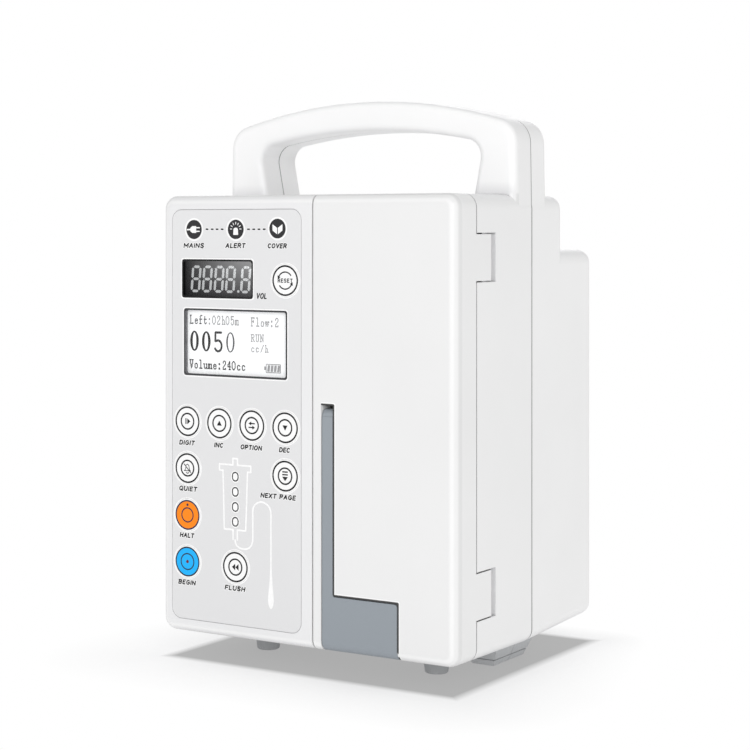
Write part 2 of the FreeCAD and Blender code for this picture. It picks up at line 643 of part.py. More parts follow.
def pressure_platen():
    return fuse([inset_box(PLATEN_FACE, 0, 10.8, 13.3, 0.5),
                 rounded_box(23.0, 43.0, 9.1, 11.1, 53.0, 123.0, 1.0)])


def coil(x, z, front, back, radius, wire_r, turns):
    """Helical spring along y; its octagonal wire section is 2 * wire_r across the flats."""
    height = back - front - 2 * wire_r
    helix = Part.makeHelix(height / turns, height, radius)
    corner_r = wire_r / math.cos(math.pi / 8)
    section = []
    for i in range(9):
        angle = math.pi / 8 + math.pi / 4 * i
        section.append(Vector(radius + corner_r * math.cos(angle), 0,
                              corner_r * math.sin(angle)))
    spring = Part.Wire(helix).makePipeShell([Part.makePolygon(section)], True, True)
    spring.rotate(Vector(0, 0, 0), Vector(1, 0, 0), -90)
    spring.translate(Vector(x, front + wire_r, z))
    return spring


def door_lever():
    """L-shaped plate, half-round at its pivot, following the front face of the body."""
    lever = lever_prism(LEVER_GAP, LEVER_FRONT, 5.4)
    lever = lever.common(box(0, 60, 0, 8, 0, PIVOT_Z).fuse(
        rod_x(PIVOT_Y, PIVOT_Z, LEVER_BOSS_R, SLOT_X0, SLOT_X1)))
    setback = front_envelope.copy()
    setback.translate(Vector(0, LEVER_FRONT, 0))
    lever = lever.common(setback)
    lever = lever.fuse(rod_x(PIVOT_Y, PIVOT_Z, LEVER_BOSS_R,
                             SLOT_X0 + LEVER_GAP, SLOT_X1 - LEVER_GAP)).removeSplitter()
    return lever.cut(rod_x(PIVOT_Y, PIVOT_Z, PIVOT_R + RUN, 0, 30))


def latch_bar():
    """Upright bar with two hooks that reach through the bay wall."""
    pieces = [box(9.0, 12.5, 8.2, 10.6, 20.0, 152.0)]
    for bottom, top in HOOKS:
        pieces.append(box(9.6, 11.9, 10.0, 23.0, bottom, top))
        pieces.append(box(9.6, 11.9, 20.4, 23.0, bottom, top + 3.0))
    return fuse(pieces)


save("door_shell", door_shell())
save("door_inner_plate", inner_plate())
save("door_seal", *door_seal().Solids)
save("pressure_platen", pressure_platen())
save("platen_springs", *[coil(TUBE_X, z, 2.42, 9.06, radius=2.2, wire_r=0.36, turns=4)
                         for z in (62.0, 80.0, 96.0, 114.0)])
save("door_lever", door_lever())
save("lever_pin", lever_pin())
save("latch_bar", latch_bar())
save("hinge_pins", *[hinge_pin(*tab) for tab in HINGE_TABS])

# =============================== pump mechanism ===============================
CAM_Y = 39.0                   # cam shaft axis
CAM_R, CAM_THROW = 4.5, 1.1
CAM_HALF_T = 2.9
SHAFT_R = 3.0
FINGERS, FINGER_PITCH, FINGER_T = 8, 7.25, 7.05
STACK_Z0 = 59.0
STACK_Z1 = STACK_Z0 + FINGERS * FINGER_PITCH
BEARING_Z, BEARING_H, BEARING_R = (51.0, 120.0), 5.0, 6.0
GEAR_MODULE, GEAR_TEETH, PINION_TEETH = 0.8, 36, 18
MOTOR_X = TUBE_X - GEAR_MODULE * (GEAR_TEETH + PINION_TEETH) / 2.0
MOTOR_Y = CAM_Y
MOTOR_Z0, MOTOR_Z1, MOTOR_HALF_W = 134.0, 166.0, 14
MOTOR_COLLAR_R, MOTOR_SHAFT_R = 5.5, 2.5
FRAME_Z0, FRAME_Z1 = 46.0, 134.0
FRAME_SCREWS = ((18.0, 50.0), (47.5, 50.0), (18.0, 128.0), (47.5, 128.0))   # x, z


def mechanism_frame():
    face = inset_box(FRAME_FACE, 0, 14.6, 19.8, 0.8)
    flange = rounded_box(15.0, 51.5, BAY_BACK + 0.05, 22.0, FRAME_Z0, FRAME_Z1, 1.0)
    side = box(49.0, 51.5, 21.0, 54.0, FRAME_Z0, FRAME_Z1)
    top_plate = box(-3.0, 51.5, 21.0, 54.0, 131.5, FRAME_Z1)
    arms = [box(22.0, 50.0, 21.0, 48.0, z, z + BEARING_H) for z in BEARING_Z]
    frame = fuse([face, flange, side, top_plate] + arms)
    # guide for the finger noses, room for the finger bodies
    frame = frame.cut(tube_box(5.1, 10, 21.9, STACK_Z0 - 0.1, STACK_Z1 + 0.1))
    frame = frame.cut(tube_box(8.5, 21.9, 60, STACK_Z0 - 0.1, STACK_Z1 + 0.1))
    frame = frame.cut(rod_z(TUBE_X, CAM_Y, BEARING_R, 40, 128))
    frame = frame.cut(rod_z(MOTOR_X, MOTOR_Y, MOTOR_COLLAR_R, 128, 140))
    # tube channel below and above the fingers
    for bottom, top in ((52, STACK_Z0 - 0.2), (STACK_Z1 + 0.2, 124)):
        frame = frame.cut(tube_box(2.3, 10, 18.0, bottom, top))
    for x, z in FRAME_SCREWS:
        frame = frame.cut(rod_y(x, z, 1.6, 15, 23))
    return frame


def camshaft():
    pieces = [rod_z(TUBE_X, CAM_Y, SHAFT_R, 43.0, 131.2)]
    for i in range(FINGERS):
        phase = 2 * math.pi * i / FINGERS
        z = STACK_Z0 + FINGER_PITCH * (i + 0.5)
        pieces.append(rod_z(TUBE_X + CAM_THROW * math.sin(phase),
                            CAM_Y - CAM_THROW * math.cos(phase),
                            CAM_R, z - CAM_HALF_T, z + CAM_HALF_T))
    return fuse(pieces)


def finger(i):
    """Slider around its cam, shifted along y to suit the cam's phase."""
    shift = -CAM_THROW * math.cos(2 * math.pi * i / FINGERS)
    bottom = STACK_Z0 + FINGER_PITCH * i + 0.1
    top = bottom + FINGER_T
    nose = tube_box(4.8, 15.7 + shift, 26.0 + shift, bottom, top)
    nose = fillet(nose, [edge for edge in edges_along(nose, AXIS_Z)
                         if edge.BoundBox.YMax < 20], 1.6)
    body = tube_box(8.3, 25.2 + shift, 48.6 + shift, bottom, top)
    half_w = CAM_R + CAM_THROW + 0.2
    half_l = CAM_R + CAM_THROW + CAM_THROW + 0.15
    cam_window = upright_box(TUBE_X - half_w, TUBE_X + half_w, CAM_Y + shift - half_l,
                             CAM_Y + shift + half_l, bottom - 1, top + 1, 1.5)
    return nose.fuse(body).removeSplitter().cut(cam_window)


def bearing(bottom):
    top = bottom + BEARING_H
    ring = rod_z(TUBE_X, CAM_Y, BEARING_R, bottom, top)
    ring = ring.cut(rod_z(TUBE_X, CAM_Y, SHAFT_R + RUN, bottom - 1, top + 1))
    return ring.cut(Part.makeTorus(4.55, 0.6, Vector(TUBE_X, CAM_Y, top), AXIS_Z))


def involute_gear(teeth, height, x, y, bottom, phase, relief=0.06, steps=6):
    """Spur gear with 20 degree involute flanks, each relieved by relief.

    The root circle has to lie inside the base circle.
    """
    pressure = math.radians(20)
    pitch_r = GEAR_MODULE * teeth / 2.0
    base_r = pitch_r * math.cos(pressure)
    tip_r, root_r = pitch_r + GEAR_MODULE, pitch_r - 1.25 * GEAR_MODULE
    base_angle = math.pi / (2 * teeth) - relief / pitch_r + math.tan(pressure) - pressure

    flank = [(root_r, base_angle)]         # radius, half tooth angle
    for i in range(steps + 1):
        radius = base_r + (tip_r - base_r) * i / steps
        roll = math.acos(base_r / radius)
        flank.append((radius, base_angle - (math.tan(roll) - roll)))
    tooth = [(radius, -angle) for radius, angle in flank] + flank[::-1]
    points = []
    for i in range(teeth):
        centre = phase + 2 * math.pi * i / teeth
        for radius, angle in tooth:
            points.append(Vector(x + radius * math.cos(centre + angle),
                                 y + radius * math.sin(centre + angle), bottom))
    points.append(points[0])
    return Part.Face(Part.makePolygon(points)).extrude(Vector(0, 0, height))


def camshaft_gear():
    # a tooth space faces the pinion, which sits to the left
    gear = involute_gear(GEAR_TEETH, 3.6, TUBE_X, CAM_Y, 127.0, math.pi + math.pi / GEAR_TEETH)
    gear = gear.cut(rod_z(TUBE_X, CAM_Y, SHAFT_R, 126.0, 131.6))
    for i in range(6):
        angle = math.pi / 3 * i + 0.3
        gear = gear.cut(rod_z(TUBE_X + 8.3 * math.cos(angle), CAM_Y + 8.3 * math.sin(angle),
                              2.4, 120, 135))
    hub = rod_z(TUBE_X, CAM_Y, 5.0, 126.0, 127.0).cut(rod_z(TUBE_X, CAM_Y, SHAFT_R, 120, 130))
    return gear.fuse(hub).removeSplitter()


def motor_pinion():
    return fuse([involute_gear(PINION_TEETH, 4.0, MOTOR_X, MOTOR_Y, 126.8, 0.0),
                 rod_z(MOTOR_X, MOTOR_Y, MOTOR_SHAFT_R, 126.0, 156.0)])


def motor_block(half_w, bottom, top):
    return upright_box(MOTOR_X - half_w, MOTOR_X + half_w, MOTOR_Y - half_w, MOTOR_Y + half_w,
                       bottom, top, 3.0)


def pump_motor():
    motor = motor_block(MOTOR_HALF_W, MOTOR_Z0, MOTOR_Z1)
    motor = motor.fuse(rod_z(MOTOR_X, MOTOR_Y, MOTOR_COLLAR_R, 132.2, MOTOR_Z0))
    motor = motor.cut(rod_z(MOTOR_X, MOTOR_Y, MOTOR_SHAFT_R + RUN, 120, 156.2))
    # two grooves around the motor
    for z in (141.5, 157.5):
        ring = box(MOTOR_X - 20, MOTOR_X + 20, MOTOR_Y - 20, MOTOR_Y + 20, z, z + 0.8)
        motor = motor.cut(ring.cut(motor_block(MOTOR_HALF_W - 0.6, z - 1, z + 2)))
    return motor


def encoder_disc():
    disc = rod_z(TUBE_X, CAM_Y, 12.0, 43.4, 44.4).cut(rod_z(TUBE_X, CAM_Y, SHAFT_R, 40, 50))
    count = 24
    slots = []
    for i in range(count):
        slot = box(9.0, 11.2, -0.5, 0.5, 40, 50)
        slot.rotate(Vector(0, 0, 0), AXIS_Z, 360.0 * i / count)
        slot.translate(Vector(TUBE_X, CAM_Y, 0))
        slots.append(slot)
    return disc.cut(Part.makeCompound(slots))


def tube_sensor(rect):
    block = inset_box(rect, 0, 14.5, 27.0, 0.6)
    return block.cut(tube_box(2.2, 10, 18.0, rect[2] - 4, rect[3] + 4))


def flow_clamp():
    left, right, bottom, top = FLOW_CLAMP_FACE
    body = fuse([box(left, right, 18.2, 24.0, bottom, top),
                 box(left - 2, right + 2, 22.5, 26.0, bottom, top)])
    return fuse([body, tube_box(1.9, 17.8, 18.6, 24.0, 26.0)])


save("mechanism_frame", mechanism_frame())
save("camshaft", camshaft())
for i in range(FINGERS):
    save("finger_%d" % (i + 1), finger(i))
save("shaft_bearings", *[bearing(z) for z in BEARING_Z])
save("camshaft_gear", camshaft_gear())
save("motor_pinion", motor_pinion())
save("pump_motor", pump_motor())
save("encoder_disc", encoder_disc())
save("encoder_sensor", box(29.0, 37.0, 47.9, 55.0, 40.0, 51.0).cut(
    box(20, 40, 40, 52.6, 42.6, 45.2)))
# the bubble sensor is trimmed to clear the top of the frame
save("bubble_sensor", tube_sensor(BUBBLE_FACE).cut(box(0, 60, 0, 80, 0, FRAME_Z1 + 0.1)))
save("occlusion_sensor", tube_sensor(OCCLUSION_FACE))
save("flow_clamp", flow_clamp())

# =============================== electronics ===============================
MAIN_BOARD_BOXES = (           # left, right, front, back, bottom, top; the board comes first
    (-57.0, -3.0, 30.0, 31.6, 26.0, 156.0),
    (-48, -32, 31.6, 33.6, 96, 112), (-26, -14, 31.6, 33.2, 90, 102),
    (-50, -30, 31.6, 38.0, 34, 42), (-22, -12, 31.6, 41.0, 34, 44),
    (-52, -40, 31.6, 40.0, 136, 148), (-40, -28, 28.0, 30.0, 60, 72),
)
SPEAKER_Y, SPEAKER_Z = 33.0, 137.0
BATTERY_Z0, BATTERY_Z1 = 44.0, 116.0
SUPPLY_Y = 63.6                # back face of the power supply board


def alarm_speaker():
    magnet = rod_x(SPEAKER_Y, SPEAKER_Z, 7.5, -57.3, -52.0)
    magnet = magnet.common(box(-60, -50, 20, 29.6, 120, 160))
    return rod_x(SPEAKER_Y, SPEAKER_Z, 11.0, -60.2, -57.2).fuse(magnet).removeSplitter()


def battery_pack():
    pack = upright_box(-52.0, -4.0, 57.5, 92.0, BATTERY_Z0, BATTERY_Z1, 3.0)
    return fillet(pack, edges_at(pack, "Z", BATTERY_Z0) + edges_at(pack, "Z", BATTERY_Z1), 1.5)


def power_supply():
    return fuse([box(6.0, 50.0, 62.0, SUPPLY_Y, 72.0, 145.0),
                 upright_box(12, 34, SUPPLY_Y, 88.0, 84, 108, 1.0),
                 rod_y(44, 90, 4.0, SUPPLY_Y, 84),
                 rod_y(44, 102, 4.0, SUPPLY_Y, 84),
                 box(10, 30, SUPPLY_Y, 72, 118, 122),
                 box(34, 48, SUPPLY_Y, 76, 116, 140)])


save("main_board", fuse([box(*limits) for limits in MAIN_BOARD_BOXES]))
save("alarm_speaker", alarm_speaker())
save("battery_pack", battery_pack())
save("power_supply", power_supply())

# =============================== back panel ===============================
ROCKER_Z = 60.5
ROCKER_PIN_Y, ROCKER_PIN_R = 103.0, 1.0
BLADES = ((31.9, 34.6), (46.1, 34.6), (39.0, 38.6))    # x, z of the contact blades
BLADE_HALF_W, BLADE_HALF_H = 1.0, 2.0


def mains_inlet():
    back = LOWER_BACK_Y
    inlet = fuse([rounded_box(23.0, 55.0, back, back + 1.6, 24.0, 70.0, 2.0),
                  inset_box(INLET_OPENING, 0.1, 88.0, back + 0.1, 1.4),
                  inset_box(SWITCH_OPENING, 0.1, 96.0, back + 0.1, 0.7),
                  rounded_box(28.0, 50.0, back + 1.5, back + 2.4, 47.0, 51.6, 0.8),
                  box(36.0, 42.0, back + 2.3, back + 3.2, 48.9, 49.7)])
    inlet = inlet.cut(rounded_box(28.0, 50.0, 92.0, 120, 28.4, 44.0, 3.0))
    inlet = inlet.cut(inset_box(SWITCH_OPENING, 1.4, 98.0, 120, 0.4))
    inlet = inlet.cut(rod_x(ROCKER_PIN_Y, ROCKER_Z, ROCKER_PIN_R + RUN, 30.5, 47.5))
    blades = [box(x - BLADE_HALF_W, x + BLADE_HALF_W, 91.5, 106.0,
                  z - BLADE_HALF_H, z + BLADE_HALF_H) for x, z in BLADES]
    return fuse([inlet] + blades)


def power_rocker():
    """Rocker with a hollow back face that turns on two short pins."""
    rocker = rod_x(101.0, ROCKER_Z, 9.0, 31.8, 46.2)
    rocker = rocker.common(box(31.8, 46.2, 101.5, 120, 56.3, 64.7))
    rocker = rocker.cut(rod_x(121.9, ROCKER_Z, 14.0, 30.0, 50.0))
    pins = rod_x(ROCKER_PIN_Y, ROCKER_Z, ROCKER_PIN_R, 30.6, 47.4)
    return rocker.fuse(pins).removeSplitter()


save("mains_inlet", mains_inlet())
save("power_rocker", power_rocker())

# =============================== pole clamp ===============================
POLE_R, POLE_X, POLE_Y = 12.7, -4.0, 143.0
CLAMP_X0, CLAMP_X1 = -44.0, 22.0
CLAMP_Z0, CLAMP_Z1 = 62.0, 112.0
SPINDLE_Z = 0.5 * (CLAMP_Z0 + CLAMP_Z1)
SPINDLE_R, SPINDLE_TIP_R, SPINDLE_END_X = 4.0, 2.4, -22.0
KNOB_X0, KNOB_X1 = -63.0, -50.0
PAD_HALF = 9.0
CLAMP_OUTLINE = (              # x, y: around the flange, the jaw and the nut arm
    (CLAMP_X0, LOWER_BACK_Y), (CLAMP_X1, LOWER_BACK_Y), (CLAMP_X1, 164), (16, REAR_Y),
    (-4, REAR_Y), (-7, 168), (-7, 158.5), (-4, 158.5), (-4, 127.5), (-32, 127.5),
    (-32, 158.0), (CLAMP_X0, 158.0), (CLAMP_X0, LOWER_BACK_Y),
)


def rounded_clamp_edge(edge):
    bounds = edge.BoundBox
    return ((abs(bounds.XMin - CLAMP_X1) < 1e-3 and bounds.YMin > 110)
            or bounds.YMin > REAR_Y - 0.01
            or (bounds.YMin > 157.5 and bounds.XMin < -31))


def clamp_body():
    """Extruded bracket: flange on the back wall, jaw right of the pole, nut arm left of it."""
    outline = Part.makePolygon([Vector(x, y, 0) for x, y in CLAMP_OUTLINE])
    body = Part.Face(outline).extrude(Vector(0, 0, CLAMP_Z1 - CLAMP_Z0))
    body.translate(Vector(0, 0, CLAMP_Z0))
    body = fillet(body, [edge for edge in edges_along(body, AXIS_Z)
                         if rounded_clamp_edge(edge)], 3.0)
    # pockets behind the flange, then the flange with its ears below and above
    flange_back = LOWER_BACK_Y + CLAMP_FLANGE_T
    for left, right, back in ((2.0, 16.0, 124.0), (-38.0, -10.0, 121.5)):
        body = body.cut(upright_box(left, right, flange_back, back,
                                    CLAMP_Z0 - 1, CLAMP_Z1 + 1, 2.0))
    body = body.fuse(rounded_box(CLAMP_X0, CLAMP_X1, LOWER_BACK_Y, flange_back,
                                 CLAMP_Z0 - 11.0, CLAMP_Z1 + 18.0, 4.0)).removeSplitter()
    body = body.cut(rod_z(POLE_X, POLE_Y, POLE_R, CLAMP_Z0 - 1, CLAMP_Z1 + 1))
    body = body.cut(rod_x(POLE_Y, SPINDLE_Z, SPINDLE_R + RUN, -45, -30))
    for x, z in CLAMP_SCREWS:
        body = body.cut(rod_y(x, z, SCREW_R + 0.2, LOWER_BACK_Y - 1, flange_back + 1))
    return body


def clamp_spindle():
    return fuse([rod_x(POLE_Y, SPINDLE_Z, SPINDLE_R, -57.0, SPINDLE_END_X),
                 rod_x(POLE_Y, SPINDLE_Z, SPINDLE_TIP_R, SPINDLE_END_X, -20.4)])


def clamp_knob():
    """Round knob at the left end of the spindle, with six finger scallops."""
    knob = rod_x(POLE_Y, SPINDLE_Z, 15.0, KNOB_X0, KNOB_X1)
    knob = fillet(knob, edges_at(knob, "X", KNOB_X0), 3.0)
    knob = fillet(knob, edges_at(knob, "X", KNOB_X1), 1.5)
    for i in range(6):
        angle = math.pi / 3 * i
        knob = knob.cut(rod_x(POLE_Y + 18.5 * math.cos(angle),
                              SPINDLE_Z + 18.5 * math.sin(angle),
                              6.0, KNOB_X0 - 1, KNOB_X1 + 1))
    return knob.cut(rod_x(POLE_Y, SPINDLE_Z, SPINDLE_R, -57.0, -40))


def clamp_pad():
    """Pressure pad between the right end of the spindle and the pole."""
    pad = rounded_box(SPINDLE_END_X + 0.05, -15.4, POLE_Y - PAD_HALF, POLE_Y + PAD_HALF,
                      SPINDLE_Z - PAD_HALF, SPINDLE_Z + PAD_HALF, 2.0)
    pad = pad.cut(rod_x(POLE_Y, SPINDLE_Z, SPINDLE_TIP_R + RUN, -23, -20.3))
    return pad.cut(rod_z(POLE_X, POLE_Y, POLE_R + 0.6, 60, 120))


save("pole_clamp_body", clamp_body())
save("clamp_spindle", clamp_spindle())
save("clamp_knob", clamp_knob())
save("clamp_pad", clamp_pad())
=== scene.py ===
import math

import bpy
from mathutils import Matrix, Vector
from mathutils.geometry import tessellate_polygon


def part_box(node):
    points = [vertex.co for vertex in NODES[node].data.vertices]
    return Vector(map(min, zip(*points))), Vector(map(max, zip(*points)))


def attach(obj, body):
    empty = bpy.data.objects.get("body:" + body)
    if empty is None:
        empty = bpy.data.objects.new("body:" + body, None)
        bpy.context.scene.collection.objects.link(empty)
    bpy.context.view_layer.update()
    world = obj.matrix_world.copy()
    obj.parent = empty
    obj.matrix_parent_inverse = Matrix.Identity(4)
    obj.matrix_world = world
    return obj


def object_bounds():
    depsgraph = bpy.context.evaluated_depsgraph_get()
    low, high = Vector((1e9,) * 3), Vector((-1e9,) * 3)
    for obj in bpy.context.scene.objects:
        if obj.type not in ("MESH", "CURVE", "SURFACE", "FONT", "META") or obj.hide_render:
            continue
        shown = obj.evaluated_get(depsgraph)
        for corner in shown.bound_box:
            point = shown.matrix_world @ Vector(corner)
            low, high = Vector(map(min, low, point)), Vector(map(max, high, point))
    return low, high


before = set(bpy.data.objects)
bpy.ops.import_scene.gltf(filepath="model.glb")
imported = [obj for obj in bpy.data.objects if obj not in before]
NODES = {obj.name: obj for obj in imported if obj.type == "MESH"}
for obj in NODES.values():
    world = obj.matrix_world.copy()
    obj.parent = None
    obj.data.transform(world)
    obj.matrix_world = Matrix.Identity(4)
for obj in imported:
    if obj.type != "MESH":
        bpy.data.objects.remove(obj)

CAD_LO, CAD_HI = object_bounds()
SCENE = bpy.context.scene

# Design coordinates in millimetres: x to the right, z up from the floor, y from the panel face to the back.
# The frame's origin in y is the middle of the object; the key caps are its foremost points, 0.2 mm proud.
Y_OFF = CAD_LO.y * 1000.0 + 0.2


def M(x, y, z):
    return Vector((x / 1000.0, (y + Y_OFF) / 1000.0, z / 1000.0))


def centre_of(node):
    lo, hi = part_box(node)
    return (lo.x + hi.x) * 500.0, (lo.z + hi.z) * 500.0


def lin(c):
    c = c / 255.0
    return c / 12.92 if c <= 0.04045 else ((c + 0.055) / 1.055) ** 2.4


def rgb(r, g=None, b=None):
    if g is None:
        g = b = r
    return (lin(r), lin(g), lin(b), 1.0)


# ------------------------------------------------------------------ materials
MATS = {}


class Mat:
    """A node material with a few helpers, so that each recipe below stays short."""

    def __init__(self, name):
        self.m = bpy.data.materials.new(name)
        self.m.use_nodes = True
        self.nt = self.m.node_tree
        self.nt.nodes.clear()
        self.out = self.n("ShaderNodeOutputMaterial")
        self.p = self.n("ShaderNodeBsdfPrincipled")
        self.link(self.p.outputs["BSDF"], self.out.inputs["Surface"])
        self.tc = self.n("ShaderNodeTexCoord").outputs["Object"]
        MATS[name] = self.m

    def n(self, kind, **props):
        node = self.nt.nodes.new(kind)
        for k, v in props.items():
            setattr(node, k, v)
        return node

    def link(self, a, b):
        self.nt.links.new(a, b)

    def val(self, sock, v):
        if hasattr(v, "is_output") or hasattr(v, "links"):
            self.link(v, sock)
        else:
            sock.default_value = v

    def noise(self, scale, detail=2.0, rough=0.5, stretch=None, vec=None):
        src = vec or self.tc
        if stretch:
            mp = self.n("ShaderNodeMapping")
            mp.inputs["Scale"].default_value = stretch
            self.link(src, mp.inputs["Vector"])
            src = mp.outputs["Vector"]
        t = self.n("ShaderNodeTexNoise")
        self.link(src, t.inputs["Vector"])
        t.inputs["Scale"].default_value = scale
        t.inputs["Detail"].default_value = detail
        t.inputs["Roughness"].default_value = rough
        return t.outputs["Fac"]

    def voronoi(self, scale, feature="F1"):
        t = self.n("ShaderNodeTexVoronoi", feature=feature)
        self.link(self.tc, t.inputs["Vector"])
        t.inputs["Scale"].default_value = scale
        return t.outputs["Distance"]

    def remap(self, v, a, b, c, d):
        r = self.n("ShaderNodeMapRange")
        self.link(v, r.inputs["Value"])
        for k, x in zip(("From Min", "From Max", "To Min", "To Max"), (a, b, c, d)):
            r.inputs[k].default_value = x
        return r.outputs["Result"]

    def math(self, op, a, b=0.0, c=None):
        r = self.n("ShaderNodeMath", operation=op)
        self.val(r.inputs[0], a)
        self.val(r.inputs[1], b)
        if c is not None:
            self.val(r.inputs[2], c)
        return r.outputs[0]

    def mix(self, f, a, b):
        r = self.n("ShaderNodeMix", data_type="RGBA")
        self.val(r.inputs[0], f)
        self.val(r.inputs[6], a)
        self.val(r.inputs[7], b)
        return r.outputs[2]

    def xyz(self):
        s = self.n("ShaderNodeSeparateXYZ")
        self.link(self.tc, s.inputs[0])
        return s.outputs[0], s.outputs[1], s.outputs[2]

    def rounded(self, radius_mm, samples=4):
        b = self.n("ShaderNodeBevel")
        b.samples = samples
        b.inputs["Radius"].default_value = radius_mm / 1000.0
        return b.outputs["Normal"]

    def edge_mask(self, rounded_normal, lo=0.02, hi=0.25):
        g = self.n("ShaderNodeNewGeometry")
        d = self.n("ShaderNodeVectorMath", operation="DOT_PRODUCT")
        self.link(rounded_normal, d.inputs[0])
        self.link(g.outputs["Normal"], d.inputs[1])
        return self.remap(self.math("SUBTRACT", 1.0, d.outputs["Value"]), lo, hi, 0.0, 1.0)

    def bump(self, height, strength, distance_mm, normal=None):
        b = self.n("ShaderNodeBump")
        b.inputs["Strength"].default_value = strength
        b.inputs["Distance"].default_value = distance_mm / 1000.0
        self.link(height, b.inputs["Height"])
        if normal is not None:
            self.link(normal, b.inputs["Normal"])
        return b.outputs["Normal"]

    def set(self, **kw):
        names = {"color": "Base Color", "rough": "Roughness", "metal": "Metallic", "normal": "Normal", "alpha": "Alpha",
                 "coat": "Coat Weight", "coat_rough": "Coat Roughness", "spec": "Specular IOR Level", "ior": "IOR",
                 "emit": "Emission Color", "emit_k": "Emission Strength", "trans": "Transmission Weight",
                 "aniso": "Anisotropic", "sss": "Subsurface Weight"}
        for k, v in kw.items():
            self.val(self.p.inputs[names[k]], v)
        return self.m


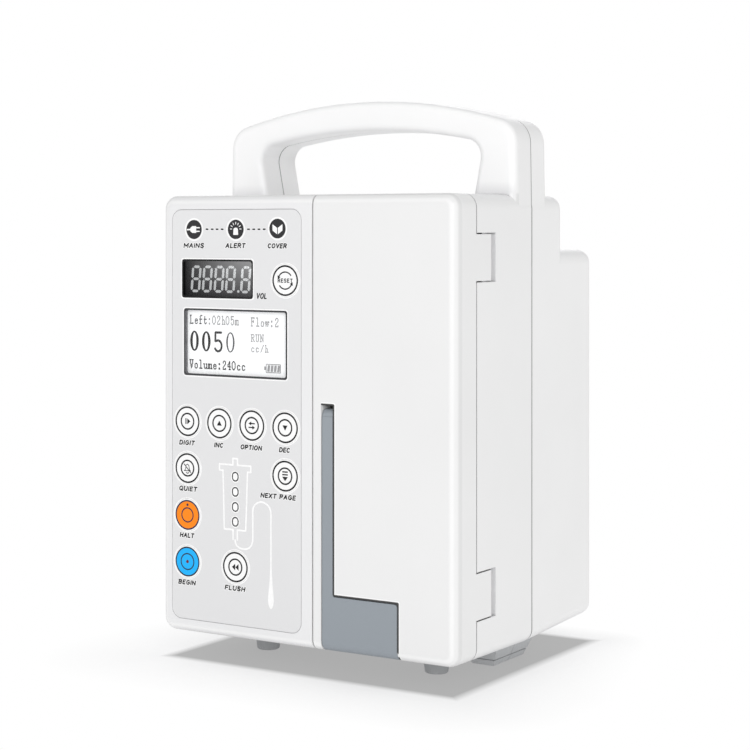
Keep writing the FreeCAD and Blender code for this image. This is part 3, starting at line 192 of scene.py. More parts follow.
def moulded(name, colour, rough=0.42, mottle=0.02, grain=1900.0, bump=0.22, edge=0.25, light=1.06, round_mm=0.35,
            coat=0.0, spec=0.45, low=None, disc=None, high=None, crevice=False, seam=None,
            slots=None, brow=False):
    """Injection-moulded plastic: spark-eroded grain, slow tonal drift, edges lightened partly as wear and partly as a
    painted highlight.
    low is the colour near the floor, for a part whose tone falls towards its underside. disc is the centre and radius
    (mm) of a printed round that ends in a white rim. high paints light onto the forward faces and undersides above a
    level, and onto the right flank. crevice paints shade into narrow gaps, seam is the depth (mm) of a dark parting
    line, and slots are rectangles x0, x1, z0, z1 (mm) whose right and upper borders carry a painted shadow line on the
    front face, with a painted highlight just beyond it. brow paints a highlight on the front of each rounded edge below
    the handle, and paints shade on its far side."""
    m = Mat(name)
    base = colour
    if disc is not None:
        x, _, z = m.xyz()
        off = [m.math("SUBTRACT", axis, c / 1000.0) for axis, c in zip((x, z), disc)]
        dist = m.math("SQRT", m.math("ADD", m.math("MULTIPLY", off[0], off[0]), m.math("MULTIPLY", off[1], off[1])), 0.0)
        base = m.mix(m.math("GREATER_THAN", dist, disc[2] / 1000.0), colour, rgb(250))
    # painted light: forward faces and undersides above the level (the handle) are whitened, and the right flank is
    # lightened
    if high is not None:
        geo = m.n("ShaderNodeNewGeometry")
        sx = m.n("ShaderNodeSeparateXYZ")
        m.link(geo.outputs["Normal"], sx.inputs[0])
        z = m.xyz()[2]
        fwd = m.math("MULTIPLY", m.remap(sx.outputs[1], -0.85, -0.3, 1.0, 0.0), m.remap(z, high[0], high[0] + 0.004, 0.0, 1.0))
        flank = m.remap(sx.outputs[0], 0.5, 0.9, 0.0, 1.0)
        under = m.math("MULTIPLY", m.remap(sx.outputs[2], -0.3, -0.8, 0.0, 1.0), m.remap(z, high[0], high[0] + 0.004, 0.0, 1.0))
        base = m.mix(under, m.mix(fwd, m.mix(flank, base, high[2]), high[1]), rgb(252))
    if low is not None:
        z = m.xyz()[2]
        base = m.mix(m.remap(z, 0.01, 0.16, 0.0, 1.0), low, colour)
    if seam is not None:
        y = m.xyz()[1]
        near = m.math("LESS_THAN", m.math("ABSOLUTE", m.math("SUBTRACT", y, (seam + Y_OFF) / 1000.0), 0.0), 0.0003)
        base = m.mix(near, base, rgb(158))
    if slots is not None:
        x, _, z = m.xyz()
        gap = None
        for x0, x1, z0, z1 in slots:
            dx = m.math("MAXIMUM", m.math("SUBTRACT", x, x1 / 1000.0), 0.0)
            dz = m.math("MAXIMUM", m.math("SUBTRACT", z, z1 / 1000.0), 0.0)
            d = m.math("SQRT", m.math("ADD", m.math("MULTIPLY", dx, dx), m.math("MULTIPLY", dz, dz)), 0.0)
            gap = d if gap is None else m.math("MINIMUM", gap, d)
        geo = m.n("ShaderNodeNewGeometry")
        sx = m.n("ShaderNodeSeparateXYZ")
        m.link(geo.outputs["Normal"], sx.inputs[0])
        face = m.math("MULTIPLY", m.math("LESS_THAN", sx.outputs[1], -0.3), m.math("GREATER_THAN", x, slots[0][0] / 1000.0))
        # painted highlight just outside each slot border, then a painted shadow line in the gap
        base = m.mix(m.math("MULTIPLY", face, m.remap(gap, 0.0009, 0.0012, 1.0, 0.0)), base, rgb(250))
        base = m.mix(m.math("MULTIPLY", face, m.remap(gap, 0.00056, 0.00068, 1.0, 0.0)), base, rgb(58))
    # painted highlight on the near side of each rounded front edge below the handle, painted shade on its far side
    if brow:
        geo = m.n("ShaderNodeNewGeometry")
        sx = m.n("ShaderNodeSeparateXYZ")
        m.link(geo.outputs["Normal"], sx.inputs[0])
        ny = sx.outputs[1]
        body_part = m.remap(m.xyz()[2], 0.1715, 0.1725, 1.0, 0.0)
        lit = m.math("MULTIPLY", m.remap(ny, -0.995, -0.95, 0.0, 1.0), m.remap(ny, -0.88, -0.78, 1.0, 0.0))
        dim = m.math("MULTIPLY", m.remap(ny, -0.6, -0.45, 0.0, 1.0), m.remap(ny, -0.2, -0.05, 1.0, 0.0))
        base = m.mix(m.math("MULTIPLY", lit, body_part), base, rgb(244))
        base = m.mix(m.math("MULTIPLY", dim, body_part), base, rgb(224))
    # painted shade: narrow gaps darkened from ambient occlusion, less so beside the panel
    if crevice:
        ao = m.n("ShaderNodeAmbientOcclusion")
        ao.samples = 6
        ao.inputs["Distance"].default_value = 0.0016
        # the joint beside the panel is wide enough for light to reach its floor
        open_side = m.remap(m.xyz()[0], 0.0100, 0.0120, 0.15, 1.0)
        base = m.mix(m.math("MULTIPLY", open_side, m.remap(ao.outputs["AO"], 0.3, 0.7, 1.0, 0.0)), base, rgb(160))
    drift = m.remap(m.noise(18.0, 3.0), 0.3, 0.7, 1.0 - mottle, 1.0 + mottle * 0.5)
    hsv = m.n("ShaderNodeHueSaturation")
    m.val(hsv.inputs["Color"], base)
    m.link(drift, hsv.inputs["Value"])
    body = hsv.outputs["Color"]
    nrm = m.rounded(round_mm) if round_mm else None
    # edges lightened: partly wear, partly a painted highlight
    if round_mm and edge:
        mask = m.math("MULTIPLY", m.edge_mask(nrm), m.remap(m.noise(260.0, 4.0), 0.35, 0.65, 0.3, 1.0))
        lighter = m.n("ShaderNodeHueSaturation")
        lighter.inputs["Value"].default_value = light
        m.link(body, lighter.inputs["Color"])
        body = m.mix(m.math("MULTIPLY", mask, edge), body, lighter.outputs["Color"])
    fine = m.noise(grain, 3.0, 0.6)
    height = m.math("ADD", fine, m.math("MULTIPLY", m.voronoi(grain * 0.6), 0.35))
    m.set(color=body, rough=m.remap(m.noise(95.0, 4.0), 0.3, 0.7, rough - 0.05, rough + 0.06), spec=spec,
          coat=coat, coat_rough=0.25, normal=m.bump(height, bump, 0.02, nrm))
    return m.m


def metal(name, colour, rough=0.3, brush=(1.0, 1.0, 40.0), scale=300.0, round_mm=0.2, speck=0.06):
    """Bare or plated metal with a brushed or turned lay and slight tarnish."""
    m = Mat(name)
    lay = m.noise(scale, 4.0, 0.6, stretch=brush)
    dull = m.mix(m.remap(m.noise(60.0, 4.0), 0.35, 0.7, 0.0, 1.0), colour,
                 tuple(c * (1.0 - speck * 2) for c in colour[:3]) + (1.0,))
    nrm = m.rounded(round_mm) if round_mm else None
    m.set(color=dull, metal=1.0, rough=m.remap(lay, 0.3, 0.7, rough - 0.07, rough + 0.1), aniso=0.4,
          normal=m.bump(lay, 0.25, 0.01, nrm))
    return m.m


def rubber(name, colour, rough=0.75):
    m = Mat(name)
    n1 = m.noise(45.0, 4.0)
    dust = m.remap(m.noise(500.0, 5.0, 0.7), 0.5, 0.75, 0.0, 1.0)
    lighter = tuple(min(1.0, c * 1.25) for c in colour[:3]) + (1.0,)
    darker = tuple(c * 0.86 for c in colour[:3]) + (1.0,)
    nrm = m.rounded(0.4)
    col = m.mix(m.math("MULTIPLY", dust, 0.35), m.mix(m.remap(n1, 0.3, 0.7, 0.0, 1.0), darker, colour), lighter)
    m.set(color=col, rough=rough, spec=0.3, normal=m.bump(m.noise(1500.0, 4.0, 0.7), 0.35, 0.03, nrm))
    return m.m


def film(name, top, low):
    """Printed polyester overlay: fine matt emboss under a thin satin coat."""
    m = Mat(name)
    z = m.xyz()[2]
    col = m.mix(m.remap(z, 0.015, 0.166, 0.0, 1.0), low, top)
    hsv = m.n("ShaderNodeHueSaturation")
    m.link(col, hsv.inputs["Color"])
    m.link(m.remap(m.noise(22.0, 3.0), 0.3, 0.7, 0.992, 1.006), hsv.inputs["Value"])
    nrm = m.rounded(0.12)
    m.set(color=hsv.outputs["Color"], rough=m.remap(m.noise(140.0, 3.0), 0.3, 0.7, 0.36, 0.44), spec=0.4, coat=0.12,
          coat_rough=0.3, normal=m.bump(m.noise(3200.0, 2.0, 0.7), 0.12, 0.01, nrm))
    return m.m


def ink(name, colour, rough=0.5, emit=0.0):
    """Screen-printed ink: slight density variation and a gloss that varies a little."""
    m = Mat(name)
    hsv = m.n("ShaderNodeHueSaturation")
    hsv.inputs["Color"].default_value = colour
    m.link(m.remap(m.noise(900.0, 3.0, 0.6), 0.3, 0.7, 0.96, 1.04), hsv.inputs["Value"])
    m.set(color=hsv.outputs["Color"], rough=m.remap(m.noise(300.0, 2.0), 0.3, 0.7, rough - 0.05, rough + 0.05), spec=0.3,
          normal=m.bump(m.noise(2600.0, 2.0), 0.08, 0.005))
    if emit:
        m.set(emit=colour, emit_k=emit)
    return m.m


def lens_dark(name, x0, x1, z0, z1):
    """Tinted acrylic window over the numeral display, with a painted reflection of the soft box across its upper right
    corner.
    """
    m = Mat(name)
    x, _, z = m.xyz()
    gx = m.remap(x, x0 / 1000.0, x1 / 1000.0, 0.0, 1.0)
    gz = m.remap(z, z0 / 1000.0, z1 / 1000.0, 0.0, 1.0)
    painted_reflection = m.math("MULTIPLY", m.math("POWER", gx, 0.95), m.remap(gz, 0.0, 1.0, 0.12, 1.0))
    clear = m.remap(gx, 0.03, 0.07, 0.0, 1.0)
    col = m.mix(clear, rgb(1), m.mix(painted_reflection, rgb(18, 18, 20), rgb(172, 172, 173)))
    m.set(color=col, rough=0.14, spec=m.math("MULTIPLY", clear, 0.14), alpha=m.remap(clear, 0.0, 1.0, 1.0, 0.72), coat=0.0,
          normal=m.bump(m.noise(60.0, 2.0), 0.02, 0.02, m.rounded(0.1)))
    m.m.blend_method = "BLEND"
    return m.m


def lens_clear(name):
    m = Mat(name)
    m.set(color=rgb(245), rough=m.remap(m.noise(80.0, 2.0), 0.3, 0.7, 0.06, 0.1), spec=0.2, alpha=0.025,
          normal=m.bump(m.noise(45.0, 2.0), 0.02, 0.02, m.rounded(0.1)))
    m.m.blend_method = "BLEND"
    return m.m


def circuit(name):
    """Solder-resist board: copper traces under green lacquer, with tinned pads."""
    m = Mat(name)
    x, y, z = m.xyz()
    br = m.n("ShaderNodeTexBrick")
    mp = m.n("ShaderNodeMapping")
    mp.inputs["Rotation"].default_value = (math.pi / 2, 0, 0)
    m.link(m.tc, mp.inputs["Vector"])
    m.link(mp.outputs["Vector"], br.inputs["Vector"])
    br.inputs["Scale"].default_value = 240.0
    br.inputs["Mortar Size"].default_value = 0.03
    pads = m.remap(m.voronoi(380.0), 0.10, 0.14, 1.0, 0.0)
    green = m.mix(br.outputs["Fac"], rgb(16, 92, 48), rgb(28, 128, 70))
    col = m.mix(m.math("MULTIPLY", pads, 0.8), green, rgb(196, 190, 170))
    m.set(color=col, rough=m.remap(m.noise(200.0), 0.3, 0.7, 0.28, 0.4), metal=m.math("MULTIPLY", pads, 0.6),
          normal=m.bump(br.outputs["Fac"], 0.15, 0.03, m.rounded(0.2)))
    return m.m


def backlit(name, level):
    """The lit face of the graphic display: an even diffuser with a faint pixel grid."""
    m = Mat(name)
    x, _, z = m.xyz()
    px = m.math("FRACT", m.math("MULTIPLY", x, 3000.0), 0.0)
    pz = m.math("FRACT", m.math("MULTIPLY", z, 3000.0), 0.0)
    grid = m.math("MAXIMUM", m.math("LESS_THAN", px, 0.12), m.math("LESS_THAN", pz, 0.12))
    soft = m.remap(m.noise(70.0, 2.0), 0.3, 0.7, 0.985, 1.0)
    tone = m.mix(m.math("MULTIPLY", grid, 0.25), rgb(252, 253, 254), rgb(240, 243, 245))
    m.set(color=tone, rough=0.4, emit=tone, emit_k=m.math("MULTIPLY", soft, level), spec=0.1)
    return m.m


def blades(name):
    """The mains inlet: black mouldings, with bare metal where the contact blades and the fuse clip are."""
    m = Mat(name)
    x, y, z = m.xyz()

    def near(axis, c, h):
        return m.math("LESS_THAN", m.math("ABSOLUTE", m.math("SUBTRACT", axis, c), 0.0), h)
    hit = None
    for cx, cz in ((31.9, 34.6), (46.1, 34.6), (39.0, 38.6)):
        b = m.math("MULTIPLY", near(x, cx / 1000.0, 0.0012), near(z, cz / 1000.0, 0.0022))
        hit = b if hit is None else m.math("MAXIMUM", hit, b)
    hit = m.math("MULTIPLY", hit, m.math("GREATER_THAN", y, (92.1 + Y_OFF) / 1000.0))
    col = m.mix(hit, m.mix(m.noise(30.0, 3.0), rgb(26), rgb(36)), rgb(206, 204, 198))
    m.set(color=col, metal=hit, rough=m.remap(m.noise(220.0, 3.0), 0.3, 0.7, 0.34, 0.5),
          normal=m.bump(m.noise(1700.0, 3.0), 0.2, 0.02, m.rounded(0.25)))
    return m.m


# housing and door: painted highlights on the handle and rounded edges, painted light on the flank, painted shade in
# gaps and slot borders
moulded("housing", rgb(235, 235, 236), rough=0.40, high=(0.1725, rgb(252), rgb(238)), brow=True, crevice=True, seam=55.5)
moulded("housing_rear", rgb(235, 235, 236), rough=0.42, high=(0.1725, rgb(246), rgb(240)), crevice=True, seam=55.5)
moulded("door", rgb(236, 236, 236), rough=0.40, high=(9.0, rgb(236), rgb(236)), brow=True, crevice=True, slots=((8.0, 13.0, 0.0, 97.0), (8.0, 39.4, 0.0, 29.9)))
film("overlay", rgb(228, 228, 229), rgb(226, 226, 227))
moulded("key_white", rgb(250, 250, 250), rough=0.34, mottle=0.006, grain=3000.0, bump=0.08, edge=0.0, round_mm=0.12)
moulded("key_orange", rgb(255, 140, 22), rough=0.36, mottle=0.01, grain=3000.0, bump=0.08, edge=0.0, round_mm=0.12, spec=0.2,
        disc=(*centre_of("key_stop"), 5.45))
moulded("key_blue", rgb(30, 182, 255), rough=0.36, mottle=0.01, grain=3000.0, bump=0.08, edge=0.0, round_mm=0.12, spec=0.2,
        disc=(*centre_of("key_start"), 5.45))
moulded("lever", rgb(152, 159, 165), rough=0.38, mottle=0.02, grain=1600.0, bump=0.16, edge=0.5, light=1.2,
        low=rgb(146, 153, 160))
rubber("rubber", rgb(182, 184, 186))
rubber("rubber_pale", rgb(206, 208, 210))
rubber("seal", rgb(70, 72, 75), rough=0.6)
metal("steel", (0.56, 0.56, 0.57, 1.0), rough=0.28)
metal("steel_turned", (0.58, 0.58, 0.59, 1.0), rough=0.22, brush=(1.0, 1.0, 60.0), scale=500.0)
metal("spring_steel", (0.42, 0.43, 0.45, 1.0), rough=0.3)
metal("aluminium", (0.72, 0.73, 0.745, 1.0), rough=0.38, brush=(1.0, 1.0, 24.0), scale=260.0)
moulded("black_plastic", rgb(38, 39, 41), rough=0.45, mottle=0.05, edge=0.5, light=1.6)
moulded("mech_plastic", rgb(92, 96, 100), rough=0.45, mottle=0.04, edge=0.4, light=1.3)
moulded("finger_plastic", rgb(228, 227, 222), rough=0.33, mottle=0.02, bump=0.1, edge=0.3)
moulded("gear_plastic", rgb(222, 216, 198), rough=0.36, mottle=0.03, bump=0.1, edge=0.3)
moulded("clamp_paint", rgb(176, 179, 182), rough=0.5, mottle=0.03, grain=900.0, bump=0.5, edge=0.6, light=1.15)
circuit("pcb")
moulded("battery", rgb(44, 74, 130), rough=0.3, mottle=0.05, grain=600.0, bump=0.1, edge=0.3, coat=0.4)
moulded("led", rgb(214, 224, 214), rough=0.2, mottle=0.02, bump=0.04, edge=0.0)
lens_dark("dark_lens", -53.5, -21.5, 134.15, 148.1)
lens_clear("lcd_lens")
blades("inlet")

ASSIGN = {
    "front_housing": "housing", "rear_housing": "housing_rear", "housing_screws": "steel_turned",
    "front_feet": "rubber", "rear_feet": "rubber_pale", "membrane_overlay": "overlay", "led_window": "dark_lens",
    "lcd_window": "lcd_lens", "led_display": "black_plastic", "lcd_display": "black_plastic", "indicator_leds": "led",
    "keypad_board": "pcb", "door_shell": "door", "door_inner_plate": "aluminium", "door_seal": "seal",
    "pressure_platen": "steel", "platen_springs": "spring_steel", "door_lever": "lever", "lever_pin": "steel_turned",
    "latch_bar": "steel", "hinge_pins": "steel_turned", "mechanism_frame": "mech_plastic", "camshaft": "steel_turned",
    "shaft_bearings": "steel_turned", "camshaft_gear": "gear_plastic", "motor_pinion": "gear_plastic",
    "pump_motor": "black_plastic", "encoder_disc": "black_plastic", "encoder_sensor": "black_plastic",
    "bubble_sensor": "mech_plastic", "occlusion_sensor": "mech_plastic", "flow_clamp": "finger_plastic",
    "main_board": "pcb", "alarm_speaker": "black_plastic", "battery_pack": "battery", "power_supply": "pcb",
    "mains_inlet": "inlet", "power_rocker": "black_plastic", "pole_clamp_body": "clamp_paint",
    "clamp_spindle": "steel_turned", "clamp_knob": "black_plastic", "clamp_pad": "seal",
    "key_stop": "key_orange", "key_start": "key_blue",
}
for name, node in NODES.items():
    kind = ASSIGN.get(name) or ("finger_plastic" if name.startswith("finger_") else
                                "key_white" if name.startswith("key_") else "black_plastic")
    node.data.materials.clear()
    node.data.materials.append(MATS[kind])


# ------------------------------------------------------------------ drawing kit
class Sheet:
    """Flat artwork in the panel plane, in millimetres, that becomes one mesh without thickness."""

    def __init__(self):
        self.v, self.f, self.count = [], [], 0

    def level(self, pts):
        """Each shape lies a hair in front of the last, so that no two overlapping shapes share a plane."""
        self.count += 1
        d = -0.0006 * (self.count % 14)
        return [(p[0], p[1], d) for p in pts]

    def tri_fan(self, pts):
        """Any simple polygon."""
        base = len(self.v)
        self.v += self.level(pts)
        for t in tessellate_polygon([[Vector((p[0], p[1], 0.0)) for p in pts]]):
            self.f.append([base + i for i in t])
        return self

    poly = tri_fan

    def strip(self, a, b, closed=False):
        """Band between two rows of points."""
        base = len(self.v)
        n = len(a)
        self.v += self.level(list(a) + list(b))
        for i in range(n if closed else n - 1):
            j = (i + 1) % n
            self.f.append([base + i, base + j, base + n + j, base + n + i])
        return self

    def disc(self, x, z, r, n=48):
        return self.tri_fan([(x + r * math.cos(2 * math.pi * i / n), z + r * math.sin(2 * math.pi * i / n)) for i in range(n)])

    def ring(self, x, z, r0, r1, a0=0.0, a1=360.0, n=64):
        full = abs(a1 - a0) >= 359.999
        k = n if full else n + 1
        ang = [math.radians(a0 + (a1 - a0) * i / n) for i in range(k)]
        return self.strip([(x + r0 * math.cos(t), z + r0 * math.sin(t)) for t in ang],
                          [(x + r1 * math.cos(t), z + r1 * math.sin(t)) for t in ang], closed=full)

    def stroke(self, pts, w, closed=False, caps=True):
        """Line of even width with rounded joints."""
        n = len(pts)
        for i in range(n if closed else n - 1):
            (x0, z0), (x1, z1) = pts[i], pts[(i + 1) % n]
            d = math.hypot(x1 - x0, z1 - z0)
            if d < 1e-6:
                continue
            nx, nz = -(z1 - z0) / d * w / 2, (x1 - x0) / d * w / 2
            self.tri_fan([(x0 - nx, z0 - nz), (x1 - nx, z1 - nz), (x1 + nx, z1 + nz), (x0 + nx, z0 + nz)])
        if caps:
            for x, z in pts:
                self.disc(x, z, w / 2, 10)
        return self

    def rrect(self, x0, x1, z0, z1, r, n=6):
        pts = []
        for cx, cz, a in ((x1 - r, z1 - r, 0), (x0 + r, z1 - r, 90), (x0 + r, z0 + r, 180), (x1 - r, z0 + r, 270)):
            for i in range(n + 1):
                t = math.radians(a + 90.0 * i / n)
                pts.append((cx + r * math.cos(t), cz + r * math.sin(t)))
        return pts

    def frame(self, x0, x1, z0, z1, r, w):
        """Rounded rectangular line whose outer edge is the given rectangle."""
        return self.strip(self.rrect(x0, x1, z0, z1, r), self.rrect(x0 + w, x1 - w, z0 + w, z1 - w, max(0.05, r - w)), closed=True)

    def text(self, words, x, z, cap, w, shear=0.0, align="c", fit=None, gap=0.34):
        """A line of plain capitals, drawn as strokes w wide. fit is the width of the whole line, strokes included."""
        rows, at = [], 0.0
        for ch in words:
            wide, lines = LETTERS[ch]
            rows.append((at, lines))
            at += wide + gap
        at -= gap
        tall = cap - w
        lean = shear * tall
        k = tall if fit is None else (fit - w - lean) / at
        x0 = x + {"c": -(at * k + lean) / 2, "l": w / 2, "r": -(at * k + lean)}[align]
        for off, lines in rows:
            for line in lines:
                self.stroke([(x0 + (off + p) * k + shear * q * tall, z - tall / 2 + q * tall) for p, q in line], w)
        return self

    def cells(self, words, x, z, dot, rise, bleed=0.2):
        """A line of dot-matrix characters whose lower left cell starts at x, z; each run of cells spreads by bleed."""
        g, h = bleed * dot, bleed * rise * 0.6
        for ch in words:
            rows = CELLS[ch]
            for r, row in enumerate(rows):
                c = 0
                while c < len(row):
                    if row[c] == "#":
                        e = c
                        while e < len(row) and row[e] == "#":
                            e += 1
                        zt = z + (len(rows) - r) * rise
                        self.tri_fan([(x + c * dot - g, zt - rise - h), (x + e * dot + g, zt - rise - h), (x + e * dot + g, zt + h), (x + c * dot - g, zt + h)])
                        c = e
                    else:
                        c += 1
            x += 8 * dot
        return self

    def make(self, name, y, material, body, slot, thick=0.008):
        """One mesh whose face is at depth y; thick is not used."""
        mesh = bpy.data.meshes.new(name)
        front = [tuple(M(a, y + d, b)) for a, b, d in self.v]
        mesh.from_pydata(front, [], self.f)
        mesh.update()
        # every face looks to the front, -Y
        import bmesh
        bm = bmesh.new()
        bm.from_mesh(mesh)
        for f in bm.faces:
            if f.normal.y > 0:
                f.normal_flip()
        bm.to_mesh(mesh)
        bm.free()
        ob = bpy.data.objects.new(name, mesh)
        SCENE.collection.objects.link(ob)
        mesh.materials.append(MATS[material])
        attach(ob, body)
        return ob


def bow(cx, cz, rx, rz, a0, a1, n=10):
    return [(cx + rx * math.cos(math.radians(a0 + (a1 - a0) * i / n)), cz + rz * math.sin(math.radians(a0 + (a1 - a0) * i / n)))
            for i in range(n + 1)]


# plain sans capitals on a grid one cap high: (width, strokes)
LETTERS = {
    " ": (0.22, []),
    "A": (0.66, [[(0, 0), (0.33, 1), (0.66, 0)], [(0.13, 0.34), (0.53, 0.34)]]),
    "B": (0.58, [[(0, 0), (0, 1), (0.34, 1)] + bow(0.34, 0.765, 0.21, 0.235, 90, -90) + [(0, 0.53)],
                 [(0.34, 0.53)] + bow(0.34, 0.265, 0.24, 0.265, 90, -90) + [(0, 0)]]),
    "C": (0.6, [bow(0.32, 0.5, 0.32, 0.5, 48, 312, 16)]),
    "D": (0.62, [[(0, 0), (0, 1), (0.26, 1)] + bow(0.26, 0.5, 0.36, 0.5, 90, -90, 14) + [(0, 0)]]),
    "E": (0.5, [[(0.5, 1), (0, 1), (0, 0), (0.5, 0)], [(0, 0.52), (0.44, 0.52)]]),
    "F": (0.5, [[(0.5, 1), (0, 1), (0, 0)], [(0, 0.5), (0.43, 0.5)]]),
    "G": (0.64, [bow(0.33, 0.5, 0.33, 0.5, 50, 330, 16) + [(0.64, 0.46), (0.36, 0.46)]]),
    "H": (0.6, [[(0, 0), (0, 1)], [(0.6, 0), (0.6, 1)], [(0, 0.52), (0.6, 0.52)]]),
    "I": (0.0, [[(0, 0), (0, 1)]]),
    "L": (0.46, [[(0, 1), (0, 0), (0.46, 0)]]),
    "M": (0.78, [[(0, 0), (0, 1), (0.39, 0.3), (0.78, 1), (0.78, 0)]]),
    "N": (0.62, [[(0, 0), (0, 1), (0.62, 0), (0.62, 1)]]),
    "O": (0.68, [bow(0.34, 0.5, 0.34, 0.5, 0, 360, 22)]),
    "P": (0.56, [[(0, 0), (0, 1), (0.3, 1)] + bow(0.3, 0.73, 0.26, 0.27, 90, -90) + [(0, 0.46)]]),
    "Q": (0.68, [bow(0.34, 0.5, 0.34, 0.5, 0, 360, 22), [(0.42, 0.24), (0.7, -0.04)]]),
    "R": (0.58, [[(0, 0), (0, 1), (0.31, 1)] + bow(0.31, 0.74, 0.26, 0.26, 90, -90) + [(0, 0.48)], [(0.28, 0.48), (0.6, 0)]]),
    "S": (0.54, [[(0.53, 0.86), (0.42, 0.98), (0.28, 1.0), (0.12, 0.97), (0.02, 0.85), (0.02, 0.68), (0.12, 0.57), (0.27, 0.52),
                  (0.43, 0.45), (0.53, 0.34), (0.53, 0.16), (0.42, 0.03), (0.27, 0.0), (0.11, 0.03), (0.0, 0.15)]]),
    "T": (0.58, [[(0, 1), (0.58, 1)], [(0.29, 1), (0.29, 0)]]),
    "U": (0.6, [[(0, 1), (0, 0.3)] + bow(0.3, 0.3, 0.3, 0.3, 180, 360, 12) + [(0.6, 1)]]),
    "V": (0.64, [[(0, 1), (0.32, 0), (0.64, 1)]]),
    "X": (0.6, [[(0, 0), (0.6, 1)], [(0, 1), (0.6, 0)]]),
}

# characters of the graphic display, seven cells wide
CELLS = {
    "0": ("..##...", ".#..#..", "#....#.", "#....#.", "#....#.", "#....#.", "#....#.", "#....#.", ".#..#..", "..##..."),
    "1": ("...#...", ".###...", "...#...", "...#...", "...#...", "...#...", "...#...", "...#...", "...#...", ".#####."),
    "2": ("..###..", ".#...#.", ".#...#.", ".....#.", "....#..", "...#...", "..#....", ".#.....", ".#...#.", ".#####."),
    "4": ("....#..", "...##..", "...##..", "..#.#..", ".#..#..", ".#..#..", ".#####.", "....#..", "....#..", "...###."),
    "5": (".#####.", ".#.....", ".#.....", ".####..", ".#...#.", ".....#.", ".....#.", ".#...#.", ".#...#.", "..###.."),
    "F": ("######.", ".#...#.", ".#.....", ".#..#..", ".####..", ".#..#..", ".#.....", ".#.....", ".#.....", "###...."),
    "V": ("###.###", ".#...#.", ".#...#.", ".#...#.", ".#...#.", "..#.#..", "..#.#..", "..#.#..", "...#...", "...#..."),
    "m": (".......", ".......", ".......", ".......", "######.", "#.#..#.", "#.#..#.", "#.#..#.", "#.#..#.", "###.###"),
    "u": (".......", ".......", ".......", ".......", "##..##.", ".#...#.", ".#...#.", ".#...#.", ".#..##.", "..##.##"),
    "w": (".......", ".......", ".......", ".......", "###.###", "#.#.#.#", "#.#.#..", ".##.##.", ".#..#..", ".#..#.."),
    "L": ("###....", ".#.....", ".#.....", ".#.....", ".#.....", ".#.....", ".#.....", ".#.....", ".#...#.", "######."),
    "T": ("#######", "#..#..#", "...#...", "...#...", "...#...", "...#...", "...#...", "...#...", "...#...", "..###.."),
    "R": ("#####..", ".#...#.", ".#...#.", ".#...#.", ".####..", ".#.#...", ".#..#..", ".#..#..", ".#...#.", "###..##"),
    "U": ("###.###", ".#...#.", ".#...#.", ".#...#.", ".#...#.", ".#...#.", ".#...#.", ".#...#.", ".#...#.", "..###.."),
    "N": ("##..###", ".#...#.", ".##..#.", ".##..#.", ".#.#.#.", ".#.#.#.", ".#..##.", ".#..##.", ".#...#.", "###..#."),
    "a": (".......", ".......", ".......", ".......", "..###..", ".#...#.", "...###.", ".##..#.", ".#...#.", "..####."),
    "c": (".......", ".......", ".......", ".......", "..###..", ".#...#.", ".#.....", ".#.....", ".#...#.", "..###.."),
    "e": (".......", ".......", ".......", ".......", "..###..", ".#...#.", ".#####.", ".#.....", ".#...#.", "..###.."),
    "f": ("...###.", "..#....", "..#....", "..#....", ".#####.", "..#....", "..#....", "..#....", "..#....", ".####.."),
    "h": (".##....", "..#....", "..#....", "..#....", "..###..", "..#..#.", "..#..#.", "..#..#.", "..#..#.", ".###.##"),
    "l": (".###...", "...#...", "...#...", "...#...", "...#...", "...#...", "...#...", "...#...", "...#...", ".#####."),
    "o": (".......", ".......", ".......", ".......", "..###..", ".#...#.", ".#...#.", ".#...#.", ".#...#.", "..###.."),
    "t": (".......", "..#....", "..#....", "..#....", ".#####.", "..#....", "..#....", "..#....", "..#..#.", "...##.."),
    "v": (".......", ".......", ".......", ".......", "###.###", ".#...#.", ".#...#.", "..#.#..", "..#.#..", "...#..."),
    ":": (".......", ".......", ".......", "..##...", "..##...", ".......", ".......", ".......", "..##...", "..##..."),
    "/": ("......#", ".....#.", ".....#.", "....#..", "....#..", "...#...", "...#...", "..#....", "..#....", ".#....."),
    " ": (".......",) * 10,
}


# ------------------------------------------------------------------ inks
ink("ink_dark", rgb(44, 44, 46))
ink("ink_ring", rgb(26, 26, 28))
ink("ink_label", rgb(24, 24, 26))
ink("ink_white", rgb(252, 252, 252), rough=0.45)
ink("ink_navy", rgb(20, 34, 74))
ink("ink_brown", rgb(40, 42, 58))
ink("ink_red", rgb(110, 30, 40))
ink("lcd_black", rgb(6, 6, 8), rough=0.8)
ink("lcd_grey", rgb(158, 158, 160), rough=0.7)
ink("lcd_mid", rgb(84, 84, 88), rough=0.7)
ink("lcd_dark", rgb(44, 44, 46), rough=0.7)
# painted shade for the window rims and the recess walls
ink("painted_shade_black", rgb(60, 60, 63), rough=0.5)
ink("painted_shade_deep", rgb(12, 12, 13), rough=0.5)
ink("painted_shade_grey", rgb(104, 104, 107), rough=0.5)
ink("segment", rgb(214, 216, 217), rough=0.4, emit=8.0)
backlit("lcd_face", 0.12)

LED_W = (-53.5, -21.35, 133.85, 148.1)
LCD_W = (-52.6, -6.4, 105.2, 129.95)
KEYS = {n: centre_of(n) for n in NODES if n.startswith("key_")}
STATUS = ((-47.9, 159.05), (-29.0, 159.1), (-10.6, 159.4))
DROPS = tuple((-29.2, z) for z in (69.1, 63.6, 58.1, 52.7))
LABELS = (
    ("MAINS", -48.0, 153.15, 9.6), ("ALERT", -29.1, 153.2, 9.2), ("COVER", -10.7, 153.2, 8.6),
    ("DIGIT", -51.1, 80.2, 7.4), ("INC", -36.6, 80.15, 4.4), ("OPTION", -22.1, 80.15, 9.8), ("DEC", -7.5, 80.15, 5.0),
    ("QUIET", -50.6, 63.2, 8.6), ("NEXT PAGE", -10.3, 63.3, 15.6), ("HALT", -51.1, 45.95, 6.9),
    ("BEGIN", -51.1, 28.55, 8.2), ("FLUSH", -29.3, 28.5, 9.4),
)

